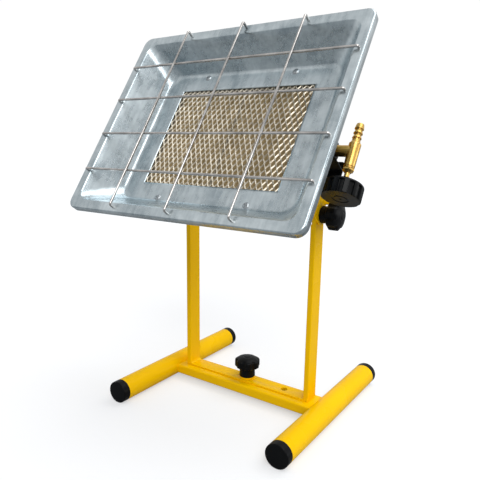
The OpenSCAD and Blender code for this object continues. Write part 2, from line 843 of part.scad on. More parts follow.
// A plate from the side of the box to the tilt axis, with its rear edge folded outwards above the axis
module ear(side) {
    edge_y = ear_t;
    fold_low = ear_r + fold_clear;
    difference() {
        union() {
            side_plate(side > 0 ? ear_in : -ear_out, ear_t) {
                polygon([
                    [0, -ear_r],
                    [ear_plate_front, burner_mid - ear_grip / 2],
                    [ear_plate_front, burner_mid + ear_grip / 2],
                    [ear_plate_rear, burner_mid + ear_grip / 2],
                    [edge_y, ear_edge],
                    [edge_y, 0]
                ]);
                circle(ear_r);
            }
            translate([side > 0 ? ear_in : -ear_in - ear_fold, edge_y - ear_t, fold_low])
                cube([ear_fold, ear_t, ear_edge - fold_low]);
        }
        rod_x(pivot_hole_r, -2 * upright_x, 4 * upright_x);
        if (side > 0) translate([0, gas_y, gas_z]) rod_x(tube_r + 0.3, 0, 2 * upright_x);
        for (p = ear_screws_at) translate([0, p[0], p[1]]) rod_x(screw_r + fit_gap, -2 * upright_x, 4 * upright_x);
        for (p = bracket_screws_at) if (side > 0)
            translate([0, p[0], p[1]]) rod_x(screw_r + fit_gap, 0, 2 * upright_x);
    }
}

module left_ear() {
    color(YELLOW) on_head() ear(-1);
}

module right_ear() {
    color(YELLOW) on_head() ear(1);
}

module ear_screws() {
    color(STEEL) on_head() for (p = ear_screws_at, side = [-1, 1])
        translate([side * ear_out, p[0], p[1]]) rotate([0, side * 90, 0]) screw(ear_out - box_w / 2 + box_wall);
}

// Valve

// Places for the two screws of the valve bracket, as [y, z]
bracket_low = gas_z - tube_r - shelf_drop;
bracket_screws_at = [for (end = [-1, 1]) [gas_y + end * bracket_w * 0.3, bracket_low - bracket_foot / 2]];

// A black steel bracket: a foot on the ear, a shelf, an upright plate that holds the valve's branch, and a
// rear wing that closes it behind the valve
module valve_bracket() {
    corner = 4;
    wing_top = gas_z - branch_r + corner / 4;
    wing_low = bracket_low - bracket_foot / 2;
    wing_y = gas_y + bracket_w / 2 - bracket_t;
    color(BLACK) on_head() difference() {
        union() {
            translate([foot_x0, gas_y - bracket_w / 2, bracket_low - bracket_foot])
                cube([bracket_t, bracket_w, bracket_foot + bracket_t]);
            translate([foot_x0, gas_y - bracket_w / 2, bracket_low])
                cube([bracket_x + bracket_out - foot_x0, bracket_w, bracket_t]);
            side_plate(bracket_x, bracket_t) {
                translate([gas_y - bracket_w / 2, bracket_low]) square([bracket_w, gas_z - bracket_low]);
                translate([gas_y, gas_z]) rounded_rect(bracket_w, bracket_w, corner);
            }
            front_plate(wing_y, bracket_t) {
                translate([foot_x0, wing_low])
                    square([bracket_x + bracket_out - corner - foot_x0, wing_top - wing_low]);
                translate([foot_x0, wing_low])
                    square([bracket_x + bracket_out - foot_x0, wing_top - wing_low - corner]);
                translate([bracket_x + bracket_out - corner, wing_top - corner]) circle(corner);
            }
        }
        translate([0, gas_y, gas_z]) rod_x(branch_r + fit_gap, bracket_x - 1, bracket_t + 2);
        for (p = bracket_screws_at) translate([0, p[0], p[1]]) rod_x(screw_r + fit_gap, foot_x0 - 1, bracket_t + 2);
    }
}

module bracket_screws() {
    color(STEEL) on_head() for (p = bracket_screws_at)
        translate([foot_x0 + bracket_t, p[0], p[1]]) rotate([0, 90, 0])
            screw(foot_x0 + bracket_t - box_w / 2 + box_wall + 3);
}

module inlet_nut() {
    color(BLACK) on_head() translate([0, gas_y, gas_z]) side_plate(nut_x, inlet_nut_l) difference() {
        hexagon(inlet_nut_flats);
        circle(branch_r + fit_gap);
    }
}

// Sizes shared by the pieces on the valve's axis
tail_spigot_r = tail_bore_d / 2 + 0.8;
tail_spigot_l = 5;
stem_in_body = 7;
stem_in_knob = 6;
gas_way_r = 2;

// Brass body: the valve's barrel with its inlet branch towards the burner
module valve_body() {
    shoulder_r = barb_d / 2 - 0.4;
    ring_low = -valve_low + 1.6;
    color(BRASS) difference() {
        union() {
            on_valve() {
                translate([0, 0, -valve_low])
                    cylinder(r1 = valve_low_r, r2 = valve_r, h = valve_low + valve_top - valve_shoulder);
                translate([0, 0, valve_top - valve_shoulder])
                    cylinder(r1 = valve_r, r2 = shoulder_r, h = valve_shoulder * 0.5);
                translate([0, 0, valve_top - valve_shoulder * 0.5 - 0.01])
                    cylinder(r = shoulder_r, h = valve_shoulder * 0.5 + 0.01);
            }
            on_head() translate([0, gas_y, gas_z]) rod_x(branch_r, branch_end, valve_x - branch_end);
        }
        // A turned groove above the gland nut
        on_valve() translate([0, 0, ring_low]) rotate_extrude()
            translate([valve_low_r - 0.4, 0]) square([1, 0.6]);
        on_valve() translate([0, 0, valve_top - tail_spigot_l - 1])
            cylinder(r = tail_spigot_r + fit_gap, h = tail_spigot_l + 2);
        on_valve() translate([0, 0, -valve_low - 1]) cylinder(r = stem_d / 2 + run_gap, h = stem_in_body + 2);
        on_head() translate([0, gas_y, gas_z]) rod_x(gas_way_r, branch_end - 1, valve_x - branch_end + 1);
    }
}

// Three barbs on a bored core, turned about the valve's axis; its spigot goes into the valve body
module hose_tail() {
    barbs = 3;
    first_step = 2.1;
    barb_step = 5.5;
    core_r = tail_d / 2;
    neck_r = core_r - 0.5;
    lip_h = 0.5;
    color(BRASS) on_valve() difference() {
        union() {
            translate([0, 0, valve_top - tail_spigot_l]) cylinder(r = tail_spigot_r, h = tail_spigot_l + 1);
            translate([0, 0, valve_top + fit_gap]) cylinder(r = neck_r, h = tail_l - 1);
            for (i = [0 : barbs - 1]) translate([0, 0, valve_top + first_step + i * barb_step]) {
                cylinder(r = barb_d / 2, h = lip_h);
                translate([0, 0, lip_h]) cylinder(r1 = barb_d / 2, r2 = neck_r, h = barb_step - lip_h - 1);
            }
            // The end above the last step is a plain taper
            translate([0, 0, valve_top + first_step + (barbs - 1) * barb_step + lip_h])
                cylinder(r1 = barb_d / 2, r2 = core_r, h = tail_l - first_step - (barbs - 1) * barb_step - lip_h);
        }
        translate([0, 0, valve_top - tail_spigot_l - 1]) cylinder(d = tail_bore_d, h = tail_l + tail_spigot_l + 2);
        translate([0, 0, valve_top + tail_l - 0.6]) cylinder(r1 = tail_bore_d / 2, r2 = tail_bore_d / 2 + 0.7, h = 0.61);
    }
}

// A hexagon against the valve body, then a cone down to the stem
module gland_nut() {
    hex_h = gland_h * 0.5;
    cone_h = gland_h - hex_h - fit_gap;
    color(BRASS) on_valve() translate([0, 0, gland_low]) difference() {
        union() {
            cylinder(r1 = stem_d / 2 + 1, r2 = gland_flats / 2 - 0.3, h = cone_h + 0.01);
            translate([0, 0, cone_h]) linear_extrude(hex_h) hexagon(gland_flats);
        }
        translate([0, 0, -1]) cylinder(r = stem_d / 2 + run_gap, h = gland_h + 2);
    }
}

module valve_stem() {
    top = -valve_low + stem_in_body;
    low = collar_top - control_collar - stem_in_knob;
    color(BRASS) on_valve() translate([0, 0, low]) cylinder(d = stem_d, h = top - low);
}

// A deep moulded knob below the valve: a collar, then a grip with flutes that stop short of its upper rim
module control_knob() {
    edge = 2.5;
    low_edge = 1.2;
    rim_h = 2.6;
    grip_r = control_d / 2;
    dish_r = grip_r * 0.42;
    color(BLACK) on_valve() difference() {
        union() {
            translate([0, 0, grip_top - 0.01]) cylinder(d = control_collar_d, h = control_collar);
            translate([0, 0, grip_low]) rotate_extrude() {
                square([grip_r - edge, control_h]);
                translate([0, low_edge]) square([grip_r, control_h - edge - low_edge]);
                translate([0, low_edge]) square([grip_r - edge, control_h - low_edge]);
                translate([grip_r - edge, control_h - edge]) circle(edge, $fn = 32);
                square([grip_r - low_edge, low_edge + 0.01]);
                translate([grip_r - low_edge, low_edge]) circle(low_edge, $fn = 24);
            }
        }
        for (i = [0 : control_flutes - 1])
            rotate([0, 0, (i + 0.5) * 360 / control_flutes])
                translate([grip_r - flute_t, -flute_w / 2, grip_low - 1]) cube([flute_t + 2, flute_w, control_h - rim_h + 1]);
        translate([0, 0, grip_low - 1]) difference() {
            cylinder(r = dish_r, h = 1.9);
            translate([0, 0, -1]) cylinder(r = dish_r * 0.82, h = 4);
        }
        translate([0, 0, grip_low - 1]) cylinder(r = 1.2, h = 1.8, $fn = 24);
        translate([0, 0, grip_top - stem_in_knob])
            cylinder(d = stem_d + 2 * fit_gap, h = stem_in_knob + control_collar + 1);
    }
}

left_foot_tube();
right_foot_tube();
left_foot_caps();
right_foot_caps();
crossbar();
swivel_nut();
yoke_strap();
left_upright();
right_upright();
left_tongue();
right_tongue();
tilt_nut();
pivot_bolt();
pivot_nut();
base_knob();
base_knob_stud();
base_knob_washer();
tilt_knob();
tilt_knob_stud();
reflector_pan();
guard_upright_wires();
guard_cross_wires();
floor_screws();
burner_mesh();
mesh_frame();
left_plaque();
right_plaque();
plaque_gasket();
burner_box();
burner_tabs();
mixing_tube();
injector();
left_ear();
right_ear();
ear_screws();
valve_bracket();
bracket_screws();
inlet_nut();
valve_body();
hose_tail();
gland_nut();
valve_stem();
control_knob();
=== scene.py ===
"""Portable gas heater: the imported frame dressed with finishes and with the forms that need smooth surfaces.

Everything ends up in metres in the frame's own axes: +Z up, the reflector faces -Y, the gas valve is on +X.
Sizes are worked out in millimetres. The reflector, its guard and its burner lean back, so they are drawn in
the head's own axes (x sideways, y back from the tilt axis, z up along the reflector) and turned into place.
"""
import json
import math

import bmesh
import bpy
import numpy as np
from mathutils import Matrix, Vector


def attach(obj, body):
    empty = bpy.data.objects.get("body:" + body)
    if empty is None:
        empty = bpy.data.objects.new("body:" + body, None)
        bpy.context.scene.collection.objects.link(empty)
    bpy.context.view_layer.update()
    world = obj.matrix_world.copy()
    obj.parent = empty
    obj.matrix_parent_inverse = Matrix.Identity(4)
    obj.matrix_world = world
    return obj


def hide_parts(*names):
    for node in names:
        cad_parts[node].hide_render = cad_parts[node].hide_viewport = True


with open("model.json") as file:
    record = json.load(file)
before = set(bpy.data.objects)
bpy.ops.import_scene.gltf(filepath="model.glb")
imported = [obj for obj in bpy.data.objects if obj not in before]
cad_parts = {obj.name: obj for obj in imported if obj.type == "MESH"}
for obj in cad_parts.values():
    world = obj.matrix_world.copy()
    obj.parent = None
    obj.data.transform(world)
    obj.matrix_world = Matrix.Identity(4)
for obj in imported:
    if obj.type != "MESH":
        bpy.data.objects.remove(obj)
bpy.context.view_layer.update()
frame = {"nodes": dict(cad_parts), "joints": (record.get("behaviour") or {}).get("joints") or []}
scene = bpy.context.scene
MM = 0.001
QUARTER = math.pi / 2
SIDE_NAME = {-1: "left", 1: "right"}

# At rest the head leans back by the first angle, and the valve leans back by less than that by the second
HEAD_TILT = math.radians(34.6)
VALVE_LEAN = math.radians(5.0)

# Places and sizes in millimetres, from the joints and the solids where these show them
JOINT_AT = {joint["name"]: np.round(np.array(joint["pos_m"]) / MM, 3) for joint in frame["joints"]}
PIVOT_Z = JOINT_AT["head_tilt"][2]
BASE_KNOB_Z = JOINT_AT["base_knob_turn"][2]
VALVE_X = JOINT_AT["control_knob_turn"][0]


def solid_box(node_name, turn=0.0, pivot_z=0.0):
    """Lowest and highest corner of a node in millimetres, along axes that lean back and start at a height.

    Rounding to a micrometre clears the rounding of the mesh itself.
    """
    x, y, z = np.array([vertex.co for vertex in frame["nodes"][node_name].data.vertices]).T / MM
    z = z - pivot_z
    c, s = math.cos(turn), math.sin(turn)
    points = np.stack([x, y * c - z * s, y * s + z * c], -1)
    return np.round(points.min(axis=0), 3), np.round(points.max(axis=0), 3)


# Base and yoke: the foot tubes stand on the floor, and the strap is under the uprights
foot_low, foot_high = solid_box("right_foot_tube")
FOOT_R = (foot_low[2] + foot_high[2]) / 2
FOOT_X = foot_high[0] - FOOT_R
FOOT_LENGTH = solid_box("right_foot_caps")[1][1] * 2
CAP_HEAD = 10.0
upright_low, upright_high = solid_box("right_upright")
YOKE_HALF, STRAP_TOP = upright_high[0], upright_low[2]
UPRIGHT_T, UPRIGHT_W = (upright_high - upright_low)[:2]
TILT_KNOB_X = solid_box("tilt_knob")[0][0]
EAR_T = 2.0
EAR_OUT = solid_box("right_ear")[0][0] + EAR_T
# Reflector and burner, from the tilt axis along the head's own axes
pan_low, pan_high = solid_box("reflector_pan", HEAD_TILT, PIVOT_Z)
PAN_HALF_W, PAN_HALF_H = (pan_high - pan_low)[::2] / 2
PAN_MID, PAN_T = (pan_low + pan_high)[2] / 2, 1.0
RIM_Y, FLOOR_Y = pan_low[1], pan_high[1] - PAN_T
PAN_DEPTH = FLOOR_Y - RIM_Y
box_low, box_high = solid_box("burner_box", HEAD_TILT, PIVOT_Z)
BOX_HALF_W, BOX_HALF_H = (box_high - box_low)[::2] / 2
BURNER_MID = (box_low + box_high)[2] / 2
BOX_Y, BOX_BACK = box_low[1], box_high[1]
# Valve: the axis of its branch and nut, and its ends along its own axis from there
inlet_low, inlet_high = solid_box("inlet_nut", HEAD_TILT, PIVOT_Z)
GAS_Y, GAS_Z = (inlet_low + inlet_high)[1:] / 2
VALVE_TOP, VALVE_LOW = 12.5, -20.7
GLAND_H = 4.4
# Fasteners
SCREW_R = 1.9
nut_low, nut_high = solid_box("tilt_nut")
NUT_T, NUT_FLATS = (nut_high - nut_low)[::2]
TONGUE_X, NUT_BORE = nut_high[0], 3.05

# Camera: fitted to the edges of the stand and of the reflector in the photograph, with the eye in metres
IMAGE_PX = 480
FOCAL_PX = 521.34
SENSOR_MM = 36.0
SHIFT_X, SHIFT_Y = 0.03371, 0.03155
EYE = (0.35700, -0.55389, 0.33743)
YAW, PITCH, ROLL = math.radians(35.678), math.radians(-12.499), math.radians(-0.436)


def make_camera():
    """Right, down and forward axes from yaw and pitch, then turned by the roll about forward."""
    forward = Vector((-math.sin(YAW) * math.cos(PITCH), math.cos(YAW) * math.cos(PITCH), math.sin(PITCH)))
    right = Vector((math.cos(YAW), math.sin(YAW), 0.0))
    down = forward.cross(right)
    right_r = right * math.cos(ROLL) + down * math.sin(ROLL)
    down_r = down * math.cos(ROLL) - right * math.sin(ROLL)
    data = bpy.data.cameras.new("camera")
    data.sensor_width = SENSOR_MM
    data.lens = FOCAL_PX / IMAGE_PX * SENSOR_MM
    data.shift_x, data.shift_y = SHIFT_X, SHIFT_Y
    camera = bpy.data.objects.new("camera", data)
    axes = Matrix((right_r, -down_r, -forward)).transposed()
    camera.matrix_world = Matrix.Translation(EYE) @ axes.to_4x4()
    scene.collection.objects.link(camera)
    scene.camera = camera


make_camera()


# Materials

def rgb(code):
    """Linear RGBA from an sRGB hex code."""
    parts = [int(code[i:i + 2], 16) / 255 for i in (1, 3, 5)]
    return tuple(v / 12.92 if v <= 0.04045 else ((v + 0.055) / 1.055) ** 2.4 for v in parts) + (1.0,)


def add(tree, kind, settings=None, **links):
    """Adds a shader node. settings are its own properties or its sockets' values.

    links are socket=output, or socket=node for a node's first output, and _0 is the socket of that number.
    """
    node = tree.nodes.new(f"ShaderNode{kind}")
    for key, value in (settings or {}).items():
        if isinstance(key, int) or key in node.inputs:
            node.inputs[key].default_value = value
        else:
            setattr(node, key, value)
    for key, output in links.items():
        socket = node.inputs[int(key[1:])] if key[0] == "_" else node.inputs[key.replace("_", " ")]
        if isinstance(output, bpy.types.Node):
            output = output.outputs[0]
        tree.links.new(output, socket)
    return node


def per_metre(size):
    """Scale of a pattern on coordinates in metres, from the size of its features in millimetres."""
    return 1 / (size * MM)


def noise(tree, place, size, detail, roughness=0.5):
    """A noise texture with features of a size in millimetres."""
    settings = {"Scale": per_metre(size), "Detail": detail, "Roughness": roughness}
    return add(tree, "TexNoise", settings, Vector=place)


def ramp(tree, value, *stops):
    """A colour ramp between two stops, each the value that it is for and its sRGB hex code."""
    node = add(tree, "ValToRGB", None, Fac=value)
    for element, (at, code) in zip(node.color_ramp.elements, stops):
        element.position, element.color = at, rgb(code)
    return node


def new_material(name):
    """An empty node material and its tree."""
    material = bpy.data.materials.new(name)
    material.use_nodes = True
    material.node_tree.nodes.clear()
    return material, material.node_tree


def finish_material(tree, settings, **links):
    """Principled shader with its settings and links, joined to the output."""
    shader = add(tree, "BsdfPrincipled", settings, **links)
    add(tree, "OutputMaterial", None, Surface=shader)


def head_coordinates(tree):
    """Object coordinates turned into the leaning head's axes, in metres."""
    place = add(tree, "TexCoord")
    return add(tree, "Mapping", {"Rotation": (HEAD_TILT, 0, 0)}, Vector=place.outputs["Object"])


def galvanised_sheet():
    """Zinc-coated pressed steel: a soft grey mirror, clouded by the coating and streaked by the press.

    The clouds are 3 cm wide, the streaks are 5 mm wide and run up the head, and the gloss has a fine grain.
    """
    material, tree = new_material("galvanised_sheet")
    place = head_coordinates(tree)
    mottle = noise(tree, place, 29.4, 6.0, roughness=0.62)
    streak_place = add(tree, "Mapping", {"Scale": (1.0, 1.0, 0.16)}, Vector=place)
    streak = noise(tree, streak_place, 4.76, 3.0)
    grain = noise(tree, place, 1.43, 2.0)
    streak_share = 0.45
    blend = add(tree, "Math", {"operation": "MULTIPLY_ADD", 1: streak_share}, _0=streak, _2=mottle)
    colour = ramp(tree, blend, (0.32, "#83929a"), (1.0, "#dce6ea"))
    rough = add(tree, "MapRange",
                {"From Min": 0.3, "From Max": 1.0, "To Min": 0.22, "To Max": 0.32}, Value=blend)
    bump = add(tree, "Bump", {"Strength": 0.1, "Distance": 0.4 * MM}, Height=grain)
    finish_material(tree, {"Metallic": 1.0}, Base_Color=colour, Roughness=rough, Normal=bump)
    return material


def yellow_powder_coat():
    """Baked powder coat: even warm yellow with a wide gloss and faint waves of orange peel, 2 mm apart."""
    material, tree = new_material("yellow_powder_coat")
    place = add(tree, "TexCoord")
    peel = noise(tree, place.outputs["Object"], 2.08, 2.0)
    cloud = noise(tree, place.outputs["Object"], 71.4, 3.0)
    colour = ramp(tree, cloud, (0.3, "#f9c300"), (0.7, "#fcc802"))
    rough = add(tree, "MapRange", {"To Min": 0.24, "To Max": 0.3}, Value=cloud)
    bump = add(tree, "Bump", {"Strength": 0.08, "Distance": 0.3 * MM}, Height=peel)
    finish_material(tree, {"Specular IOR Level": 0.08},
                    Base_Color=colour, Roughness=rough, Normal=bump)
    return material


def moulded_nylon(name, gloss, dullest):
    """Glass-filled black nylon: dark with a dull sheen and a spark-eroded grain of about 0.5 mm.

    gloss is the level of its reflection, and dullest is its roughness where it is worn least.
    """
    material, tree = new_material(name)
    place = add(tree, "TexCoord")
    grain = noise(tree, place.outputs["Object"], 0.455, 2.0)
    worn = noise(tree, place.outputs["Object"], 16.7, 4.0)
    colour = ramp(tree, worn, (0.0, "#08090a"), (1.0, "#0f1012"))
    polish = 0.14
    rough = add(tree, "MapRange", {"To Min": dullest - polish, "To Max": dullest}, Value=worn)
    bump = add(tree, "Bump", {"Strength": 0.15, "Distance": 0.2 * MM}, Height=grain)
    finish_material(tree, {"IOR": 1.5, "Specular IOR Level": gloss}, Base_Color=colour,
                    Roughness=rough, Normal=bump)
    return material


def black_lacquer():
    """Stoved black lacquer on steel: a thin glossy film over a pressing that is uneven every 3 mm."""
    material, tree = new_material("stoved_black_lacquer")
    place = add(tree, "TexCoord")
    film = noise(tree, place.outputs["Object"], 3.33, 3.0)
    rough = add(tree, "MapRange", {"To Min": 0.28, "To Max": 0.45}, Value=film)
    bump = add(tree, "Bump", {"Strength": 0.1, "Distance": 0.3 * MM}, Height=film)
    finish_material(tree, {"Base Color": rgb("#0a0b0c"), "Specular IOR Level": 0.14},
                    Roughness=rough, Normal=bump)
    return material


def turned_brass():
    """Brass turned on a lathe and left bare: warm metal with faint tarnish in patches of 1 cm.

    The lines of the lathe's tool run round the axis and are drawn coarse, 0.45 mm apart, so that they show.
    """
    material, tree = new_material("turned_brass")
    place = add(tree, "TexCoord")
    tarnish = noise(tree, place.outputs["Object"], 11.1, 4.0)
    colour = ramp(tree, tarnish, (0.3, "#c0964a"), (0.7, "#e6be6e"))
    rough = add(tree, "MapRange", {"To Min": 0.26, "To Max": 0.4}, Value=tarnish)
    line_place = add(tree, "Mapping", {"Rotation": (HEAD_TILT - VALVE_LEAN, 0, 0)},
                     Vector=place.outputs["Object"])
    # At a scale of 1 the wave's bands are a tenth of pi apart
    line_gap = 0.449
    lines = add(tree, "TexWave",
                {"bands_direction": "Z", "Scale": per_metre(line_gap) * math.pi / 10, "Distortion": 0.6},
                Vector=line_place)
    bump = add(tree, "Bump", {"Strength": 0.05, "Distance": 0.2 * MM}, Height=lines)
    finish_material(tree, {"Metallic": 1.0}, Base_Color=colour, Roughness=rough, Normal=bump)
    return material


def drawn_wire():
    """Bright drawn steel wire: nearly a mirror, dulled a little in patches of 15 mm."""
    material, tree = new_material("drawn_steel_wire")
    place = head_coordinates(tree)
    patch = noise(tree, place, 14.3, 3.0)
    colour = ramp(tree, patch, (0.35, "#a6a3a1"), (0.7, "#d3d0cd"))
    rough = add(tree, "MapRange", {"To Min": 0.07, "To Max": 0.15}, Value=patch)
    finish_material(tree, {"Metallic": 1.0}, Base_Color=colour, Roughness=rough)
    return material


def plated_fastener():
    """Zinc-plated screw steel: cool grey with a satin bloom in patches of 4 mm."""
    material, tree = new_material("zinc_plated_steel")
    place = add(tree, "TexCoord")
    bloom = noise(tree, place.outputs["Object"], 3.85, 3.0)
    rough = add(tree, "MapRange", {"To Min": 0.32, "To Max": 0.48}, Value=bloom)
    colour = ramp(tree, bloom, (0.2, "#93999d"), (0.8, "#b4babd"))
    finish_material(tree, {"Metallic": 1.0}, Base_Color=colour, Roughness=rough)
    return material


def heated_screen():
    """Heat-resisting steel screen, tinted straw by heat, with scale in patches of 8 mm."""
    material, tree = new_material("heat_tinted_steel")
    place = head_coordinates(tree)
    tint = noise(tree, place, 8.33, 4.0)
    colour = ramp(tree, tint, (0.3, "#908879"), (0.72, "#d0c9ba"))
    rough = add(tree, "MapRange", {"To Min": 0.3, "To Max": 0.46}, Value=tint)
    finish_material(tree, {"Metallic": 1.0}, Base_Color=colour, Roughness=rough)
    return material


def pierced_ceramic():
    """Cordierite plaque: matt buff ceramic pierced by rows of flame ports, drawn coarse at 2.4 mm, with
    painted shade inside the ports.
    """
    material, tree = new_material("cordierite_ceramic")
    place = head_coordinates(tree)
    ports = add(tree, "TexVoronoi", {"Scale": per_metre(2.38), "Randomness": 0.0}, Vector=place)
    # Mask of the flame ports: it sets their bump, and it paints them a darker brown as painted shade inside
    # the holes
    port_depth_and_shade = add(tree, "MapRange", {"From Min": 0.22, "From Max": 0.34}, Value=ports)
    cloud = noise(tree, place, 16.7, 4.0)
    body = ramp(tree, cloud, (0.2, "#917c55"), (0.8, "#bda57a"))
    colour = add(tree, "Mix", {"data_type": "RGBA", 6: rgb("#6a5639")}, Factor=port_depth_and_shade, _7=body)
    bump = add(tree, "Bump", {"Strength": 0.6, "Distance": 0.6 * MM}, Height=port_depth_and_shade)
    finish_material(tree, {"Roughness": 0.85}, Base_Color=colour.outputs[2], Normal=bump)
    return material


def fibre_gasket():
    """Ceramic fibre paper: off-white, matt, with a wool of 2 mm tufts."""
    material, tree = new_material("ceramic_fibre_paper")
    place = add(tree, "TexCoord")
    wool = noise(tree, place.outputs["Object"], 1.67, 5.0)
    colour = ramp(tree, wool, (0.2, "#8f8674"), (0.8, "#b3aa96"))
    bump = add(tree, "Bump", {"Strength": 0.4, "Distance": 0.5 * MM}, Height=wool)
    finish_material(tree, {"Roughness": 0.95}, Base_Color=colour, Normal=bump)
    return material


ZINC = galvanised_sheet()
YELLOW = yellow_powder_coat()
NYLON = moulded_nylon("moulded_black_nylon", gloss=0.1, dullest=0.42)
GRIP = moulded_nylon("polished_black_nylon", gloss=0.13, dullest=0.36)
LACQUER = black_lacquer()
BRASS = turned_brass()
WIRE = drawn_wire()
PLATED = plated_fastener()
SCREEN = heated_screen()
CERAMIC = pierced_ceramic()
FIBRE = fibre_gasket()

FINISHED = {
    YELLOW: ("left_foot_tube", "right_foot_tube", "crossbar", "yoke_strap", "left_upright", "right_upright",
             "left_tongue", "right_tongue", "base_knob_washer", "left_ear", "right_ear"),
    ZINC: ("reflector_pan", "mesh_frame", "burner_box", "burner_tabs"),
    PLATED: ("swivel_nut", "tilt_nut", "pivot_bolt", "pivot_nut", "base_knob_stud", "tilt_knob_stud",
             "floor_screws", "mixing_tube", "ear_screws", "bracket_screws"),
    WIRE: ("guard_upright_wires", "guard_cross_wires"),
    SCREEN: ("burner_mesh",),
    NYLON: ("left_foot_caps", "right_foot_caps", "base_knob", "tilt_knob"),
    GRIP: ("control_knob",),
    LACQUER: ("valve_bracket", "inlet_nut"),
    CERAMIC: ("left_plaque", "right_plaque"),
    FIBRE: ("plaque_gasket",),
    BRASS: ("injector", "valve_body", "hose_tail", "gland_nut", "valve_stem"),
}
NODE_FINISH = {node_name: finish for finish, names in FINISHED.items() for node_name in names}
for node_name, finish in NODE_FINISH.items():
    node_object = frame["nodes"][node_name]
    if node_object.material_slots:
        for material_slot in node_object.material_slots:
            material_slot.material = finish
    else:
        node_object.data.materials.append(finish)


# Surfaces

def on_head(points, turn=HEAD_TILT, origin=(0.0, 0.0, PIVOT_Z)):
    """Turns points in the head's axes back by the lean and lifts them to the tilt axis, in metres."""
    c, s = math.cos(turn), math.sin(turn)
    x, y, z = points[..., 0], points[..., 1], points[..., 2]
    out = np.stack([x, y * c + z * s, z * c - y * s], -1)
    return (out + np.array(origin)) * MM


VALVE_AT = on_head(np.array([VALVE_X, GAS_Y, GAS_Z])) / MM


def on_valve(points):
    """Places points drawn along the valve's axis, with z = 0 at the inlet branch, in metres."""
    return on_head(points, HEAD_TILT - VALVE_LEAN, VALVE_AT)


def upright(points):
    """Points drawn straight in the frame's own axes, in metres."""
    return points * MM


def placed(place, shape):
    """A shape with its points put in place by a function, and its faces as they were."""
    points, faces = shape
    return place(points), faces


def grid_faces(rows, columns, close_rows=False, close_columns=False):
    """Four-sided faces over a grid of rows by columns, joined round where it is closed."""
    i = np.arange(rows if close_rows else rows - 1)[:, None]
    j = np.arange(columns if close_columns else columns - 1)[None, :]
    i2, j2 = (i + 1) % rows, (j + 1) % columns
    corners = [i * columns + j, i * columns + j2, i2 * columns + j2, i2 * columns + j]
    return np.stack(corners, -1).reshape(-1, 4)


def skin(grid, loop=False):
    """Points and faces of a grid whose columns go round: its rows end in flat caps, or join up in a loop."""
    rows, columns = grid.shape[:2]
    faces = grid_faces(rows, columns, loop, True).tolist()
    if not loop:
        faces += [list(range(columns))[::-1], list(range((rows - 1) * columns, rows * columns))]
    return grid.reshape(-1, 3), faces


def joined(parts):
    """Several skins as one."""
    starts = np.cumsum([0] + [len(points) for points, _ in parts])
    faces = [[v + start for v in face] for start, (_, some) in zip(starts, parts) for face in some]
    return np.concatenate([points for points, _ in parts]), faces


def make_piece(name, shape, finish, body, replaced=(), outward=True, sharp=32.0):
    """A mesh from points in metres and faces, riding on a body. Edges sharper than an angle stay crisp."""
    points, faces = shape
    mesh = bpy.data.meshes.new(name)
    mesh.from_pydata(points.tolist(), [], faces)
    mesh.validate()
    if outward:
        work = bmesh.new()
        work.from_mesh(mesh)
        bmesh.ops.recalc_face_normals(work, faces=work.faces)
        work.to_mesh(mesh)
        work.free()
    mesh.materials.append(finish)
    mesh.shade_smooth()
    mesh.set_sharp_from_angle(angle=math.radians(sharp))
    piece = bpy.data.objects.new(name, mesh)
    scene.collection.objects.link(piece)
    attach(piece, body)
    if replaced:
        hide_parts(*replaced)
    return piece


def give_wall(piece, thickness):
    """Gives a surface the thickness of its sheet, in millimetres, behind its faces."""
    wall = piece.modifiers.new("sheet", "SOLIDIFY")
    wall.thickness = thickness * MM
    wall.offset = -1.0


def softened(node_name, name, body, edge):
    """A merged copy of a node's own mesh with its sharp edges rounded by a small radius, in millimetres.

    With a radius of 0 the edges stay crisp.
    """
    source = frame["nodes"][node_name].data
    mesh = bpy.data.meshes.new(name)
    work = bmesh.new()
    work.from_mesh(source)
    bmesh.ops.remove_doubles(work, verts=work.verts, dist=0.02 * MM)
    bmesh.ops.dissolve_limit(work, angle_limit=math.radians(0.3), verts=work.verts, edges=work.edges)
    work.to_mesh(mesh)
    work.free()
    mesh.materials.clear()
    mesh.materials.append(NODE_FINISH[node_name])
    mesh.shade_smooth()
    piece = bpy.data.objects.new(name, mesh)
    scene.collection.objects.link(piece)
    if edge:
        bevel = piece.modifiers.new("eased_edges", "BEVEL")
        bevel.width = edge * MM
        bevel.segments = 3
        bevel.limit_method = "ANGLE"
        bevel.angle_limit = math.radians(35)
        bevel.use_clamp_overlap = False
        bevel.harden_normals = True
    else:
        mesh.set_sharp_from_angle(angle=math.radians(32))
    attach(piece, body)
    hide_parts(node_name)


def rounded_ring(half_w, half_h, radius, mid=0.0, corner_steps=12, side_steps=10):
    """Points round a rounded rectangle, the same number for every size: corner arcs, even steps between."""
    a = np.linspace(0, QUARTER, corner_steps)
    flat_w, flat_h = half_w - radius, half_h - radius
    quadrants = ((1, 1), (-1, 1), (-1, -1), (1, -1))
    out = []
    for k, (sx, sz) in enumerate(quadrants):
        arc = np.stack([sx * flat_w + radius * np.cos(a + k * QUARTER),
                        sz * flat_h + radius * np.sin(a + k * QUARTER)], -1)
        nx, nz = quadrants[(k + 1) % 4]
        start = np.array([nx * flat_w + radius * math.cos((k + 1) * QUARTER),
                          nz * flat_h + radius * math.sin((k + 1) * QUARTER)])
        t = np.linspace(0, 1, side_steps + 2)[1:-1, None]
        out += [arc, arc[-1] * (1 - t) + start * t]
    ring = np.concatenate(out)
    ring[:, 1] += mid
    return ring


